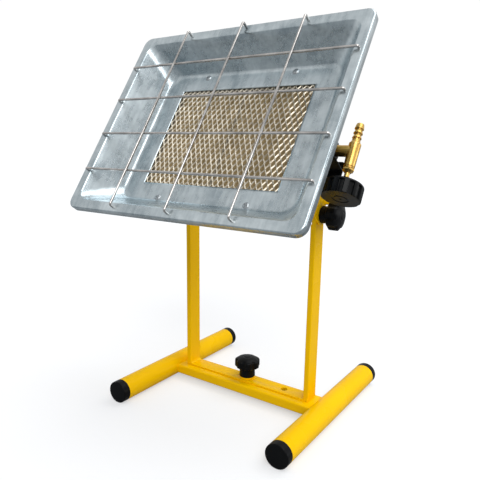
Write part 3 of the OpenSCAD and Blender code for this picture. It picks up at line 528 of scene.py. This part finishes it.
def eased(corners, radius, steps=4):
    """A line whose inner corners are cut back by up to a radius and joined by a parabola."""
    p = np.asarray(corners, float)
    t = np.linspace(0, 1, steps + 1)[:, None]
    most = 0.45
    out = [p[:1]]
    for before, corner, after in zip(p[:-2], p[1:-1], p[2:]):
        sides = np.array([before - corner, after - corner])
        lengths = np.linalg.norm(sides, axis=1, keepdims=True)
        start, end = corner + sides / lengths * np.minimum(radius, lengths * most)
        out.append((1 - t) ** 2 * start + 2 * t * (1 - t) * corner + t ** 2 * end)
    return np.concatenate(out + [p[-1:]])


def turned(profile, steps=96, outline=None):
    """A profile of (radius, height) turned once round z; an outline of radii by angle trims its outside."""
    profile = np.asarray(profile, float)
    a = np.linspace(0, 2 * math.pi, steps, endpoint=False)
    r = np.broadcast_to(profile[:, :1], (len(profile), steps))
    if outline is not None:
        r = np.minimum(r, outline(a)[None, :])
    return np.stack([r * np.cos(a), r * np.sin(a), np.broadcast_to(profile[:, 1:], r.shape)], -1)


def along_x(grid, at=(0.0, 0.0, 0.0), way=1):
    """Turns a shape drawn along z to lie along x, forwards or backwards, and moves it."""
    x, y, z = grid[..., 0], grid[..., 1], grid[..., 2]
    return np.stack([z * way, x, y], -1) + np.array(at)


def along_y(grid, at=(0.0, 0.0, 0.0), way=1):
    """Turns a shape drawn along z to lie along y, forwards or backwards, and moves it."""
    x, y, z = grid[..., 0], grid[..., 1], grid[..., 2]
    return np.stack([x, z * way, y], -1) + np.array(at)


def hexagon(flats):
    """Radius by angle of a hexagon of a width across its flats."""
    return lambda a: flats / 2 / np.cos(np.mod(a, math.pi / 3) - math.pi / 6)


# Base

def foot_tube(side):
    """Round tube: an outer and an inner circle carried along y and closed at the ends, its rims broken."""
    half = FOOT_LENGTH / 2 - CAP_HEAD
    wall, broken = 1.5, 0.3
    inner = FOOT_R - wall
    profile = [(FOOT_R - broken, -half), (FOOT_R, broken - half), (FOOT_R, half - broken),
               (FOOT_R - broken, half), (inner, half), (inner, -half)]
    grid = along_y(turned(profile, 128), (side * FOOT_X, 0, FOOT_R))
    name = SIDE_NAME[side]
    make_piece(f"{name}_foot_round_tube", placed(upright, skin(grid, True)), YELLOW, "base",
               [f"{name}_foot_tube"])


def foot_caps(side):
    """End caps: a plug, a collar as wide as the tube and a flat face with an eased edge, turned about y."""
    plug_r, plug_l = FOOT_R - 1.55, 12.0
    broken, edge, middle_r = 0.3, 1.3, 0.3
    face = eased([(FOOT_R - 0.2, 0), (FOOT_R, broken), (FOOT_R, CAP_HEAD), (middle_r, CAP_HEAD)], edge, 6)
    profile = np.concatenate([[(plug_r, -plug_l), (plug_r, 0.0)], face])
    parts = []
    for end in (-1, 1):
        at = (side * FOOT_X, end * (FOOT_LENGTH / 2 - CAP_HEAD), FOOT_R)
        parts.append(placed(upright, skin(along_y(turned(profile, 96), at, end))))
    name = SIDE_NAME[side]
    make_piece(f"{name}_foot_plugs", joined(parts), NYLON, "base", [f"{name}_foot_caps"])


def weld_fillet(side):
    """A weld along an upright's inner foot: a hollow quarter round carried along y across the strap."""
    size, sunk, under, short = 3.0, 0.3, 0.2, 0.6
    half = UPRIGHT_W / 2 - short
    a = np.linspace(math.pi, 3 * QUARTER, 9)
    hollow = np.stack([size + size * np.cos(a), size + size * np.sin(a)], -1)[1:]
    section = np.concatenate([[(-sunk, -under), (-sunk, size)], hollow, [(size, -under)]])
    x = side * (YOKE_HALF - UPRIGHT_T) - side * section[:, 0]
    z = STRAP_TOP + section[:, 1]
    grid = np.stack([np.stack([x, np.full_like(x, y), z], -1) for y in (-half, half)])
    make_piece(f"{SIDE_NAME[side]}_weld", placed(upright, skin(grid)), YELLOW, "yoke")


# Knobs

def scalloped(a, radius, lobes, hollow_r, hollow_at):
    """Radius by angle of a round knob with even round hollows, their shoulders eased by a soft minimum."""
    step = 2 * math.pi / lobes
    off = np.mod(a, step) - step / 2
    inside = np.maximum(hollow_r ** 2 - (hollow_at * np.sin(off)) ** 2, 0.0)
    cut = np.where(inside > 0, hollow_at * np.cos(off) - np.sqrt(inside), radius * 2)
    ease = 0.45
    return -ease * np.log(np.exp(-np.minimum(cut, radius * 2) / ease) + np.exp(-radius / ease))


def clamp_knob(name, head_d, head_t, hub_d, hub_l, place, body, replaced):
    """A moulded knob: a hub flared into a lobed head, rounded over into a domed top with a shallow ring.

    Each row has a limit, an inset from the lobed outline and a height, and its radius at angle a is the
    smaller of the limit and of outline(a) - inset. On top the height falls off as the square of the radius.
    """
    lobes, steps = 7, 224
    dome, edge = 2.5, 1.4
    flare_h, flare_power, flare_inset = 4.0, 1.3, 0.3
    radius, hub_r, hollow_r = head_d / 2, hub_d / 2, head_d * 0.17
    a = np.linspace(0, 2 * math.pi, steps, endpoint=False)
    outline = scalloped(a, radius, lobes, hollow_r, radius + hollow_r * 0.62)
    fall = (dome + 1.5) / (radius - 1) ** 2
    top = hub_l + head_t + dome
    rim_z = top - fall * radius ** 2
    free = radius * 2
    rows = [(hub_r - 0.5, 0, 0), (hub_r, 0, 0.5), (hub_r - 0.2, 0, hub_l * 0.5), (hub_r - 0.3, 0, hub_l)]
    rows += [(hub_r + (radius + 1 - hub_r) * t, flare_inset * (1 - t), hub_l + flare_h * t ** flare_power)
             for t in np.linspace(0.12, 1, 8)]
    rows += [(free, 0, hub_l + flare_h + 0.4), (free, 0, rim_z - edge)]
    rows += [(free, edge * (1 - math.cos(t)), rim_z - edge * (1 - math.sin(t)))
             for t in np.radians([20, 40, 60, 75])]
    limit, inset, height = np.array(rows).T
    r = np.minimum(limit[:, None], outline[None, :] - inset[:, None])
    z = np.broadcast_to(height[:, None], r.shape)
    share = np.linspace(1, 0.02, 26)[:, None]
    r_top = share * (outline[None, :] - edge)
    ring_r, ring_w, ring_deep = head_d * 0.15, 0.9, 0.45
    groove = ring_deep * np.exp(-((r_top - ring_r) / ring_w) ** 2)
    # The dome comes down to meet the rounded rim
    drop = fall * (edge * 2 * radius - edge ** 2) / 2 * share ** 6
    z_top = top - fall * r_top ** 2 - groove - drop
    r, z = np.concatenate([r, r_top]), np.concatenate([z, z_top])
    shape = skin(np.stack([r * np.cos(a), r * np.sin(a), z], -1))
    make_piece(name, placed(place, shape), NYLON, body, replaced, sharp=40.0)


def control_grip():
    """The valve's knob: a collar, then a grip whose wide flutes stop in a step below the upper rim.

    The radius at angle a is the row's own less the flute's depth times s(a), where s goes from 0 to 1 across
    half a millimetre at each side of a flute, and the flutes only cut rows below the rim.
    """
    steps, flutes, flute_w, flute_deep = 480, 12, 5.4, 2.1
    grip_r, height, low_edge, edge, rim_h = 21.0, 17.0, 1.0, 2.2, 2.6
    collar_r, collar_h, collar_edge = 7.0, 6.0, 0.6
    stem_gap, middle_r, bore_r = 6.7, 0.4, 3.0
    dimple, disc_in, groove = 0.9, 0.05, 0.75
    low = VALVE_LOW - GLAND_H - stem_gap - collar_h - height
    top = low + height
    a = np.linspace(0, 2 * math.pi, steps, endpoint=False)
    step = 2 * math.pi / flutes
    off, side_w = np.abs(np.mod(a, step) - step / 2) * grip_r, 0.5
    cut = np.clip((flute_w / 2 + side_w / 2 - off) / side_w, 0, 1)
    # The underside from its middle: a dimple, a disc, a groove round it and the flat of the grip
    under = [(middle_r, dimple), (1.2, dimple), (1.5, disc_in), (6.6, disc_in), (7.0, groove),
             (8.6, groove), (9.0, 0.0), (grip_r - 2.6, 0.0)]
    rows = [(r, low + lift, 0) for r, lift in under]
    rows += [(grip_r - low_edge * (1 - math.sin(t)), low + low_edge * (1 - math.cos(t)), math.sin(t))
             for t in np.radians([0, 30, 60, 90])]
    rows += [(grip_r, top - rim_h - 0.3, 1), (grip_r, top - rim_h, 0), (grip_r, top - edge, 0)]
    rows += [(grip_r - edge * (1 - math.cos(t)), top - edge * (1 - math.sin(t)), 0)
             for t in np.radians([15, 35, 55, 75, 90])]
    rows += [(collar_r + 3.0, top - 0.15, 0), (collar_r + 0.8, top, 0), (collar_r, top + 0.9, 0),
             (collar_r, top + collar_h - 0.5, 0), (collar_r - collar_edge, top + collar_h, 0),
             (bore_r, top + collar_h, 0)]
    r, z, fluted = np.array(rows).T
    r = r[:, None] - flute_deep * fluted[:, None] * cut[None, :]
    shape = skin(np.stack([r * np.cos(a), r * np.sin(a), np.broadcast_to(z[:, None], r.shape)], -1))
    make_piece("gas_control_knob", placed(on_valve, shape), GRIP, "gas_control", ["control_knob"],
               sharp=25.0)


# Reflector

def quarter_steps(steps):
    """Angles of a quarter circle in radians, without its first point."""
    return np.linspace(0, QUARTER, steps + 1)[1:]


def pressed_pan():
    """The reflector's sheet: rings round a rounded rectangle, each at its own size and depth.

    From outside in: the turned-back edge, a small bend, the flat rim, a bend into the sloped wall, the
    wall, a bend into the floor, and the floor out to the square opening.
    """
    half_w, half_h, rim = PAN_HALF_W, PAN_HALF_H, 10.0
    mouth_w, mouth_h = half_w - rim, half_h - rim
    floor_w, floor_h = 120.0, 91.2
    opening_w, opening_h = 92.5, 67.0
    sheet_t, turned_back = 0.95, 8.0
    edge_bend, mouth_bend, floor_bend = 1.1, 2.6, 7.0
    outer_corner, mouth_corner, floor_corner, opening_corner = 10.0, 13.0, 20.0, 0.6
    # Each ring is half width, half height, corner radius, depth, middle
    rings = [(half_w, half_h, outer_corner, turned_back, PAN_MID),
             (half_w, half_h, outer_corner, edge_bend, PAN_MID)]
    for a in quarter_steps(5):
        inset = edge_bend * (1 - math.cos(a))
        rings.append((half_w - inset, half_h - inset, outer_corner - inset, edge_bend * (1 - math.sin(a)),
                      PAN_MID))
    slope_w = math.atan2(PAN_DEPTH, mouth_w - floor_w)
    slope_h = math.atan2(PAN_DEPTH, mouth_h - floor_h)
    turn_w, turn_h = mouth_bend * math.tan(slope_w / 2), mouth_bend * math.tan(slope_h / 2)
    for share in np.linspace(0, 1, 6):
        w = mouth_w + turn_w - mouth_bend * math.sin(slope_w * share)
        h = mouth_h + turn_h - mouth_bend * math.sin(slope_h * share)
        d = mouth_bend * (1 - math.cos(slope_w * share))
        rings.append((w, h, mouth_corner, d, PAN_MID))
    lift_w, lift_h = floor_bend * math.tan(slope_w / 2), floor_bend * math.tan(slope_h / 2)
    bend = []
    for share in np.linspace(1, 0, 7):
        w = floor_w - lift_w + floor_bend * math.sin(slope_w * share)
        h = floor_h - lift_h + floor_bend * math.sin(slope_h * share)
        d = PAN_DEPTH - floor_bend * (1 - math.cos(slope_w * share))
        bend.append((w, h, floor_corner, d, BURNER_MID))
    wall = np.linspace(0, 1, 7)[1:-1, None]
    rings += (np.array(rings[-1]) * (1 - wall) + np.array(bend[0]) * wall).tolist() + bend
    edge_w, edge_h = bend[-1][:2]
    for share in np.linspace(0, 1, 8)[1:]:
        w = edge_w + (opening_w - edge_w) * share
        h = edge_h + (opening_h - edge_h) * share
        corner = floor_corner + (opening_corner - floor_corner) * share
        rings.append((w, h, corner, PAN_DEPTH, BURNER_MID))
    grid = np.stack([np.insert(rounded_ring(w, h, r, mid), 1, RIM_Y + d, axis=1)
                     for w, h, r, d, mid in rings])
    faces = grid_faces(*grid.shape[:2], close_columns=True)[:, ::-1].tolist()
    pan = make_piece("pressed_reflector", (on_head(grid.reshape(-1, 3)), faces), ZINC, "head",
                     ["reflector_pan"], outward=False, sharp=60.0)
    give_wall(pan, sheet_t)


def bent_wire(length, leg, longer):
    """A round wire along u whose ends turn back towards +v through a quarter circle; its far end is longer.

    The centre line runs down a leg, round the bend and along to its own mirror image, and a circle is
    carried along it square to its run.
    """
    wire_r, bend = 1.45, 2.0
    quarter = np.linspace(0, QUARTER, 9)
    arc = np.stack([-length / 2 + bend - bend * np.cos(quarter), bend - bend * np.sin(quarter)], -1)
    left = np.concatenate([[(-length / 2, leg)], arc])
    line = np.concatenate([left, left[::-1] * (-1, 1) + (longer, 0)])
    ahead = np.gradient(line, axis=0)
    ahead[0], ahead[-1] = (0, -1), (0, 1)
    ahead /= np.linalg.norm(ahead, axis=1, keepdims=True)
    ahead[len(left) - 1], ahead[len(left)] = (1, 0), (1, 0)
    across = np.stack([-ahead[:, 1], ahead[:, 0]], -1)
    a = np.linspace(0, 2 * math.pi, 16, endpoint=False)
    u = line[:, :1] + wire_r * across[:, :1] * np.cos(a)
    v = line[:, 1:] + wire_r * across[:, 1:] * np.cos(a)
    return u, v, np.broadcast_to(wire_r * np.sin(a), u.shape)


def guard_wires():
    """Four cross wires and three upright wires in front of them, their ends through the rim."""
    cross_y, upright_y, tail = RIM_Y - 4.2, RIM_Y - 6.5, RIM_Y + 3.5
    cross_l, cross_gap, cross_longer = 300.8, 50.0, 0.2
    upright_l, upright_gap = 241.2, 80.0
    # The middle wire stands highest over the rim
    upright_longer = {-1: 2.4, 0: 4.8, 1: 2.4}
    u, v, w = bent_wire(cross_l, tail - cross_y, cross_longer)
    cross = [skin(np.stack([u, cross_y + v, PAN_MID + i * cross_gap + w], -1))
             for i in (-1.5, -0.5, 0.5, 1.5)]
    stand = []
    for i, longer in upright_longer.items():
        u, v, w = bent_wire(upright_l, tail - upright_y, longer)
        stand.append(skin(np.stack([i * upright_gap + w, upright_y + v, PAN_MID + u], -1)))
    for name, parts in (("cross_wires", cross), ("upright_wires", stand)):
        make_piece(name, placed(on_head, joined(parts)), WIRE, "head", [f"guard_{name}"], sharp=50.0)


def expanded_metal():
    """Raised expanded metal: strands that zigzag up the screen and meet at every half period.

    Strand i runs at x = (i + 1/2) pitch / 2 and swings by a quarter of the pitch to either side as a
    triangle wave along z, neighbours in opposite phase, so that they join at the bonds. Its section is a
    flat strip turned about its length, and it rises and falls in depth with the swing.
    """
    pitch_x, pitch_z = 7.1, 13.6
    strip_w, strip_t = 1.5, 0.65
    half_w, half_h = 92.6, 68.6
    middle_y, rise, bond = FLOOR_Y + 0.6, 0.5, 0.25
    strands = int(2 * half_w / (pitch_x / 2))
    steps = int(2 * half_h / pitch_z * 8)
    z = np.linspace(-half_h, half_h, steps + 1)
    swing = 2 * np.abs(2 * ((z / pitch_z) % 1.0) - 1) - 1
    # The bonds have a length of their own, so the wave is cut flat at its peaks
    cut = 1.3
    swing = np.clip(swing * cut, -1, 1)
    i = np.arange(strands)
    sign = np.where(i % 2 == 0, 1.0, -1.0)[:, None]
    x = (i[:, None] - (strands - 1) / 2) * pitch_x / 2 + sign * swing[None, :] * (pitch_x / 4 - bond)
    depth = middle_y + rise * sign * swing[None, :]
    corner = np.array([(-1, -1), (1, -1), (1, 1), (-1, 1)]) * np.array([strip_w / 2, strip_t / 2])
    # The shear twists a strand one way where it runs to the right and the other way where it runs back,
    # and the last strands on the right, where the sheet was cut, are twisted back further
    runs = sign * np.gradient(swing)[None, :]
    runs = runs / np.abs(runs).max()
    lean, twist, edge_lean, edge_twist = 47.0, 1.5, 8.0, 17.0
    edge_strands, fade = 8, 4.0
    near_edge = np.clip((i - strands + edge_strands) / fade, 0, 1)[:, None]
    turn = np.radians(lean + (twist - edge_twist * near_edge) * runs - edge_lean * near_edge)[:, :, None]
    cx = corner[:, 0] * np.cos(turn) - corner[:, 1] * np.sin(turn)
    cy = corner[:, 0] * np.sin(turn) + corner[:, 1] * np.cos(turn)
    up = np.broadcast_to((z + BURNER_MID)[None, :, None], cx.shape)
    points = np.stack([x[:, :, None] + cx, depth[:, :, None] + cy, up], -1)
    make_piece("expanded_screen", joined([skin(strand) for strand in on_head(points)]), SCREEN, "head",
               ["burner_mesh"], sharp=25.0)


def burner_shell():
    """The pressed box behind the reflector: rings of a rounded rectangle from its open front to its back.

    The back edge is rounded, and the back is set in by a millimetre inside a stiffening step.
    """
    edge, corner, flare, inner_corner, sheet_t = 3.5, 3.0, 0.2, 1.5, 0.9
    step_in, deep, soft = 14.0, 1.2, 0.3
    deep_y, middle_in = BOX_BACK - deep, 40.0
    rings = [(0.0, BOX_Y), (0.0, BOX_BACK - edge)]
    rings += [(edge * (1 - math.cos(a)), BOX_BACK - edge * (1 - math.sin(a))) for a in quarter_steps(6)]
    rings += [(step_in - 1.5, BOX_BACK), (step_in, BOX_BACK - soft), (step_in + 1.6, deep_y + soft),
              (step_in + 3.0, deep_y), (middle_in, deep_y), (BOX_HALF_H - 2.0, deep_y)]
    grid = []
    for inset, y in rings:
        radius = corner + inset * flare if inset < middle_in else inner_corner
        ring = rounded_ring(BOX_HALF_W - inset, BOX_HALF_H - inset, radius, BURNER_MID)
        grid.append(np.insert(ring, 1, y, axis=1))
    grid = np.stack(grid)
    rows, columns = grid.shape[:2]
    faces = grid_faces(rows, columns, close_columns=True).tolist()
    faces.append(list(range((rows - 1) * columns, rows * columns)))
    shell = make_piece("burner_shell", (on_head(grid.reshape(-1, 3)), faces), ZINC, "head", ["burner_box"],
                       outward=False, sharp=50.0)
    give_wall(shell, sheet_t)


# Fasteners

def hex_nut(flats, length, bore, at, way=1):
    """A hexagon nut along x with both ends chamfered: the smaller of the hexagon and of a cone's radius."""
    corner, face_r = flats / 2 / math.cos(math.pi / 6), flats / 2 * 0.97
    chamfer = 0.28 * (corner - flats / 2) + 0.6
    profile = [(bore, 0), (face_r, 0), (corner, chamfer), (corner, length - chamfer), (face_r, length),
               (bore, length)]
    return skin(along_x(turned(profile, 96, hexagon(flats)), at, way), True)


def cross_screw(shank, turn, head_r=SCREW_R * 1.75):
    """A pan-head screw along z with a cross recess, its shank below z = 0; turn is the recess's own angle.

    The head is a low dome, and points inside the cross are pushed down by its depth.
    """
    head_t, side_share, dome_power = head_r * 0.62, 0.35, 2.6
    share = np.linspace(0.985, 0.03, 22)
    dome = [(head_r * s, head_t * (side_share + (1 - side_share) * (1 - s ** dome_power))) for s in share]
    profile = [(SCREW_R, -shank), (SCREW_R, 0), (head_r, 0), (head_r, head_t * 0.3)] + dome
    grid = turned(profile, 64)
    c, s = math.cos(turn), math.sin(turn)
    x, y = grid[..., 0] * c + grid[..., 1] * s, grid[..., 1] * c - grid[..., 0] * s
    arm, slot, recess, side_w, end_w = head_r * 0.6, 0.42, 0.8, 0.24, 0.3
    near, far = np.minimum(np.abs(x), np.abs(y)), np.maximum(np.abs(x), np.abs(y))
    inside = (np.clip((slot + side_w / 2 - near) / side_w, 0, 1)
              * np.clip((arm + end_w / 2 - far) / end_w, 0, 1))
    on_top = np.arange(len(profile)) >= 5
    grid[..., 2] -= recess * inside * on_top[:, None]
    return grid


def head_screws():
    """The screws in the reflector's floor, in the ears and in the valve bracket, each turned by chance."""
    rng = np.random.default_rng(7)
    floor_x, floor_z, floor_head_r = 61.6, 86.25, SCREW_R * 2.2
    ear_rows, ear_z = (-81.8, -60.2), 34.0
    bracket_x, bracket_apart, bracket_z = EAR_OUT + 2.05, 8.7, 20.7
    both = (-1, 1)
    floor = [skin(along_y(cross_screw(5.0, rng.uniform(0, 1.5), floor_head_r),
                          (x * floor_x, FLOOR_Y, BURNER_MID + end * floor_z), -1))
             for x in both for end in both]
    ear = [skin(along_x(cross_screw(2.9, rng.uniform(0, 1.5)),
                        (side * EAR_OUT, y, BURNER_MID + end * ear_z), side))
           for y in ear_rows for end in both for side in both]
    bracket = [skin(along_x(cross_screw(7.0, rng.uniform(0, 1.5)),
                            (bracket_x, GAS_Y + end * bracket_apart, bracket_z)))
               for end in both]
    for where, parts in (("floor", floor), ("ear", ear), ("bracket", bracket)):
        make_piece(f"{where}_pan_screws", placed(on_head, joined(parts)), PLATED, "head",
                   [f"{where}_screws"], sharp=28.0)


def yoke_nuts():
    """The nut for the tilt knob's stud, and the bolt and nut on the left."""
    for kind, side in (("tilt", 1), ("pivot", -1)):
        nut = hex_nut(NUT_FLATS, NUT_T, NUT_BORE, (side * TONGUE_X, 0, PIVOT_Z), -side)
        make_piece(f"{kind}_hexagon_nut", placed(upright, nut), PLATED, "yoke", [f"{kind}_nut"], sharp=25.0)
    under_head = EAR_OUT + 0.3
    at = (-under_head, 0, PIVOT_Z)
    corner, middle_r, face_r, head_t, chamfer = NUT_FLATS / 2 / math.cos(math.pi / 6), 0.4, 4.6, 4.0, 0.7
    head = [(middle_r, head_t), (face_r, head_t), (corner, head_t - chamfer), (corner, 0), (middle_r, 0)]
    shank_r, tip_r, past_nut = 3.0, 2.3, 1.5
    shank_l = under_head - TONGUE_X + NUT_T + past_nut
    shank = [(shank_r, -0.5), (shank_r, shank_l - chamfer), (tip_r, shank_l)]
    bolt = joined([skin(along_x(turned(head, 96, hexagon(NUT_FLATS)), at, -1)),
                   skin(along_x(turned(shank, 48), at))])
    make_piece("pivot_hexagon_bolt", placed(upright, bolt), PLATED, "yoke", ["pivot_bolt"], sharp=25.0)


# Valve: each piece is a profile of (radius, height) turned about the valve's axis or its branch

def valve_barrel():
    """The brass body: a collar at its low end, a barrel, a cone up to the hose tail, and the branch."""
    top, low, shoulder, core_r, barrel_r = VALVE_TOP, VALVE_LOW, 4.9, 1.0, 6.5
    collar_r, groove_r = 5.9, 5.4
    barrel = eased([(core_r, low), (5.0, low), (collar_r, low + 0.5), (collar_r, low + 1.5),
                    (groove_r, low + 1.7), (groove_r, low + 2.2), (5.95, low + 2.4),
                    (barrel_r, top - shoulder), (6.2, top - shoulder + 0.8), (4.8, top - shoulder / 2),
                    (4.6, top - 0.3), (4.2, top), (core_r, top)], 0.35, 3)
    branch_r, far, near = 6.1, VALVE_X - 38.1, VALVE_X - 0.3
    branch = turned([(0.5, far), (3.2, far), (5.7, far + 0.6), (branch_r, far + 1.2), (branch_r, near),
                     (0.5, near)], 96)
    branch = skin(along_x(branch, (0, GAS_Y, GAS_Z)))
    shape = joined([placed(on_valve, skin(turned(barrel))), placed(on_head, branch)])
    make_piece("valve_barrel", shape, BRASS, "head", ["valve_body"])


def hose_tail():
    """The hose tail: a bored stem with three barbs, each a slow cone that ends in a step."""
    top, length, bore, root = VALVE_TOP, 19.0, 2.6, 3.4
    core, barb, step, first, barbs = 3.5, 5.0, 5.5, 2.1, 3
    line = [(bore, top - 5.0), (root, top - 5.0), (root, top + 0.05), (core, top + 0.1)]
    for i in range(barbs):
        z = top + first + i * step
        line += [(core, z - 0.3), (core + 0.3, z), (barb, z + 0.05), (barb, z + 0.55)]
        if i < barbs - 1:
            line += [(core + 0.15, z + step - 1.6)]
    end = top + length
    line += [(4.2, end - 1.0), (4.0, end - 0.3), (3.7, end), (bore + 0.6, end), (bore, end - 0.7)]
    tail = turned(eased(line, 0.22, 2))
    make_piece("barbed_hose_tail", placed(on_valve, skin(tail, True)), BRASS, "head", ["hose_tail"],
               sharp=40.0)


def valve_nuts():
    """The gland nut under the barrel, and the large nut on the branch."""
    low, stem_r, gland_flats = VALVE_LOW, 2.83, 11.5
    end = low - GLAND_H
    gland = [(stem_r, end), (stem_r + 0.8, end), (5.3, end + 2.0), (6.5, end + 2.4), (6.64, low - 0.5),
             (5.9, low), (stem_r, low)]
    grid = turned(gland, 96, hexagon(gland_flats))
    make_piece("gland_hexagon", placed(on_valve, skin(grid, True)), BRASS, "head", ["gland_nut"], sharp=25.0)
    inlet_flats, inlet_t, inlet_bore, inlet_from_axis = 23.5, 8.6, 6.15, 20.4
    nut = hex_nut(inlet_flats, inlet_t, inlet_bore, (VALVE_X - inlet_from_axis - inlet_t, GAS_Y, GAS_Z))
    make_piece("inlet_hexagon", placed(on_head, nut), LACQUER, "head", ["inlet_nut"], sharp=25.0)


for which in SIDE_NAME:
    foot_tube(which)
    foot_caps(which)
    weld_fillet(which)

# Node, piece, body and the radius of its edges
SOFTENED = (
    ("crossbar", "base_crossbar", "base", 0.0), ("yoke_strap", "yoke_bottom_strap", "yoke", 0.5),
    ("left_upright", "left_upright_tube", "yoke", 0.0), ("right_upright", "right_upright_tube", "yoke", 0.0),
    ("left_tongue", "left_pivot_tongue", "yoke", 0.0), ("right_tongue", "right_pivot_tongue", "yoke", 0.0),
    ("left_ear", "left_burner_ear", "head", 0.5), ("right_ear", "right_burner_ear", "head", 0.5),
    ("valve_bracket", "black_valve_bracket", "head", 0.6),
    ("burner_tabs", "burner_fixing_tabs", "head", 0.0), ("mixing_tube", "gas_mixing_tube", "head", 0.0),
    ("base_knob_washer", "base_washer", "base_clamp", 0.5),
)
for node_name, piece_name, body, edge in SOFTENED:
    softened(node_name, piece_name, body, edge)

clamp_knob("base_lobed_knob", 33.5, 14.5, 21.2, 10.8,
           lambda p: upright(p + np.array([0, 0, BASE_KNOB_Z])), "base_clamp", ["base_knob"])
clamp_knob("tilt_lobed_knob", 34.0, 15.5, 20.4, 8.0,
           lambda p: upright(along_x(p, (TILT_KNOB_X, 0, PIVOT_Z))), "tilt_clamp", ["tilt_knob"])
control_grip()
pressed_pan()
guard_wires()
expanded_metal()
burner_shell()
head_screws()
yoke_nuts()
valve_barrel()
hose_tail()
valve_nuts()


# Stage and light

def seen_directly(tree, glossy_share):
    """1 for rays from the camera or through glass, a share of that for glossy rays, 0 for the rest."""
    path = add(tree, "LightPath")
    direct = add(tree, "Math", {"operation": "MAXIMUM"}, _0=path.outputs["Is Camera Ray"],
                 _1=path.outputs["Is Transmission Ray"])
    glossy = add(tree, "Math", {"operation": "MULTIPLY", 1: glossy_share}, _0=path.outputs["Is Glossy Ray"])
    return add(tree, "Math", {"operation": "MAXIMUM"}, _0=direct, _1=glossy)


def make_floor():
    """A large plain floor that shows white to the camera and grey in a gloss, and keeps a soft shadow."""
    half, glow_strength, glow_in_gloss = 6.0, 0.49, 0.1
    mesh = bpy.data.meshes.new("floor")
    corners = [(-half, -half, 0), (half, -half, 0), (half, half, 0), (-half, half, 0)]
    mesh.from_pydata(corners, [], [(0, 1, 2, 3)])
    material, tree = new_material("pale_floor")
    seen = seen_directly(tree, glow_in_gloss)
    strength = add(tree, "Math", {"operation": "MULTIPLY", 1: glow_strength}, _0=seen)
    path = add(tree, "LightPath")
    # Polished metal sees a darker ground than the camera does, as it would in a studio
    shade = add(tree, "Mix", {"data_type": "RGBA", 6: rgb("#bcbec1"), 7: rgb("#8f9396")},
                Factor=path.outputs["Is Glossy Ray"])
    matt = add(tree, "BsdfDiffuse", None, Color=shade.outputs[2])
    glow = add(tree, "Emission", {"Color": (1, 1, 1, 1)}, Strength=strength)
    both = add(tree, "AddShader", None, _0=matt, _1=glow)
    add(tree, "OutputMaterial", None, Surface=both)
    mesh.materials.append(material)
    floor = bpy.data.objects.new("floor", mesh)
    scene.collection.objects.link(floor)


def make_world():
    """White where the camera or a clear material sees it, greyer in a gloss, and greyer still as light."""
    as_light, as_seen, white_in_gloss = 0.48, 1.02, 0.45
    world = bpy.data.worlds.new("studio")
    scene.world = world
    world.use_nodes = True
    tree = world.node_tree
    tree.nodes.clear()
    seen = seen_directly(tree, white_in_gloss)
    strength = add(tree, "MapRange", {"To Min": as_light, "To Max": as_seen}, Value=seen)
    sky = add(tree, "Background", {"Color": (1, 1, 1, 1)}, Strength=strength)
    add(tree, "OutputWorld", None, Surface=sky)


def make_sun(name, towards, wide, strength):
    """A far soft light, so that the floor is lit evenly: where it shines from and its width in degrees."""
    data = bpy.data.lights.new(name, "SUN")
    data.angle = math.radians(wide)
    data.energy = strength
    lamp = bpy.data.objects.new(name, data)
    lamp.location = Vector(towards) * 2.0
    lamp.rotation_euler = Vector(towards).to_track_quat("Z", "Y").to_euler()
    scene.collection.objects.link(lamp)


make_floor()
make_world()
make_sun("overhead", (0.3, 0.24, 0.92), 50.0, 1.32)
make_sun("front_key", (0.51, -0.58, 0.64), 34.0, 1.2)
make_sun("right_fill", (0.88, 0.47, 0.04), 26.0, 0.45)
scene.view_settings.view_transform = "Standard"
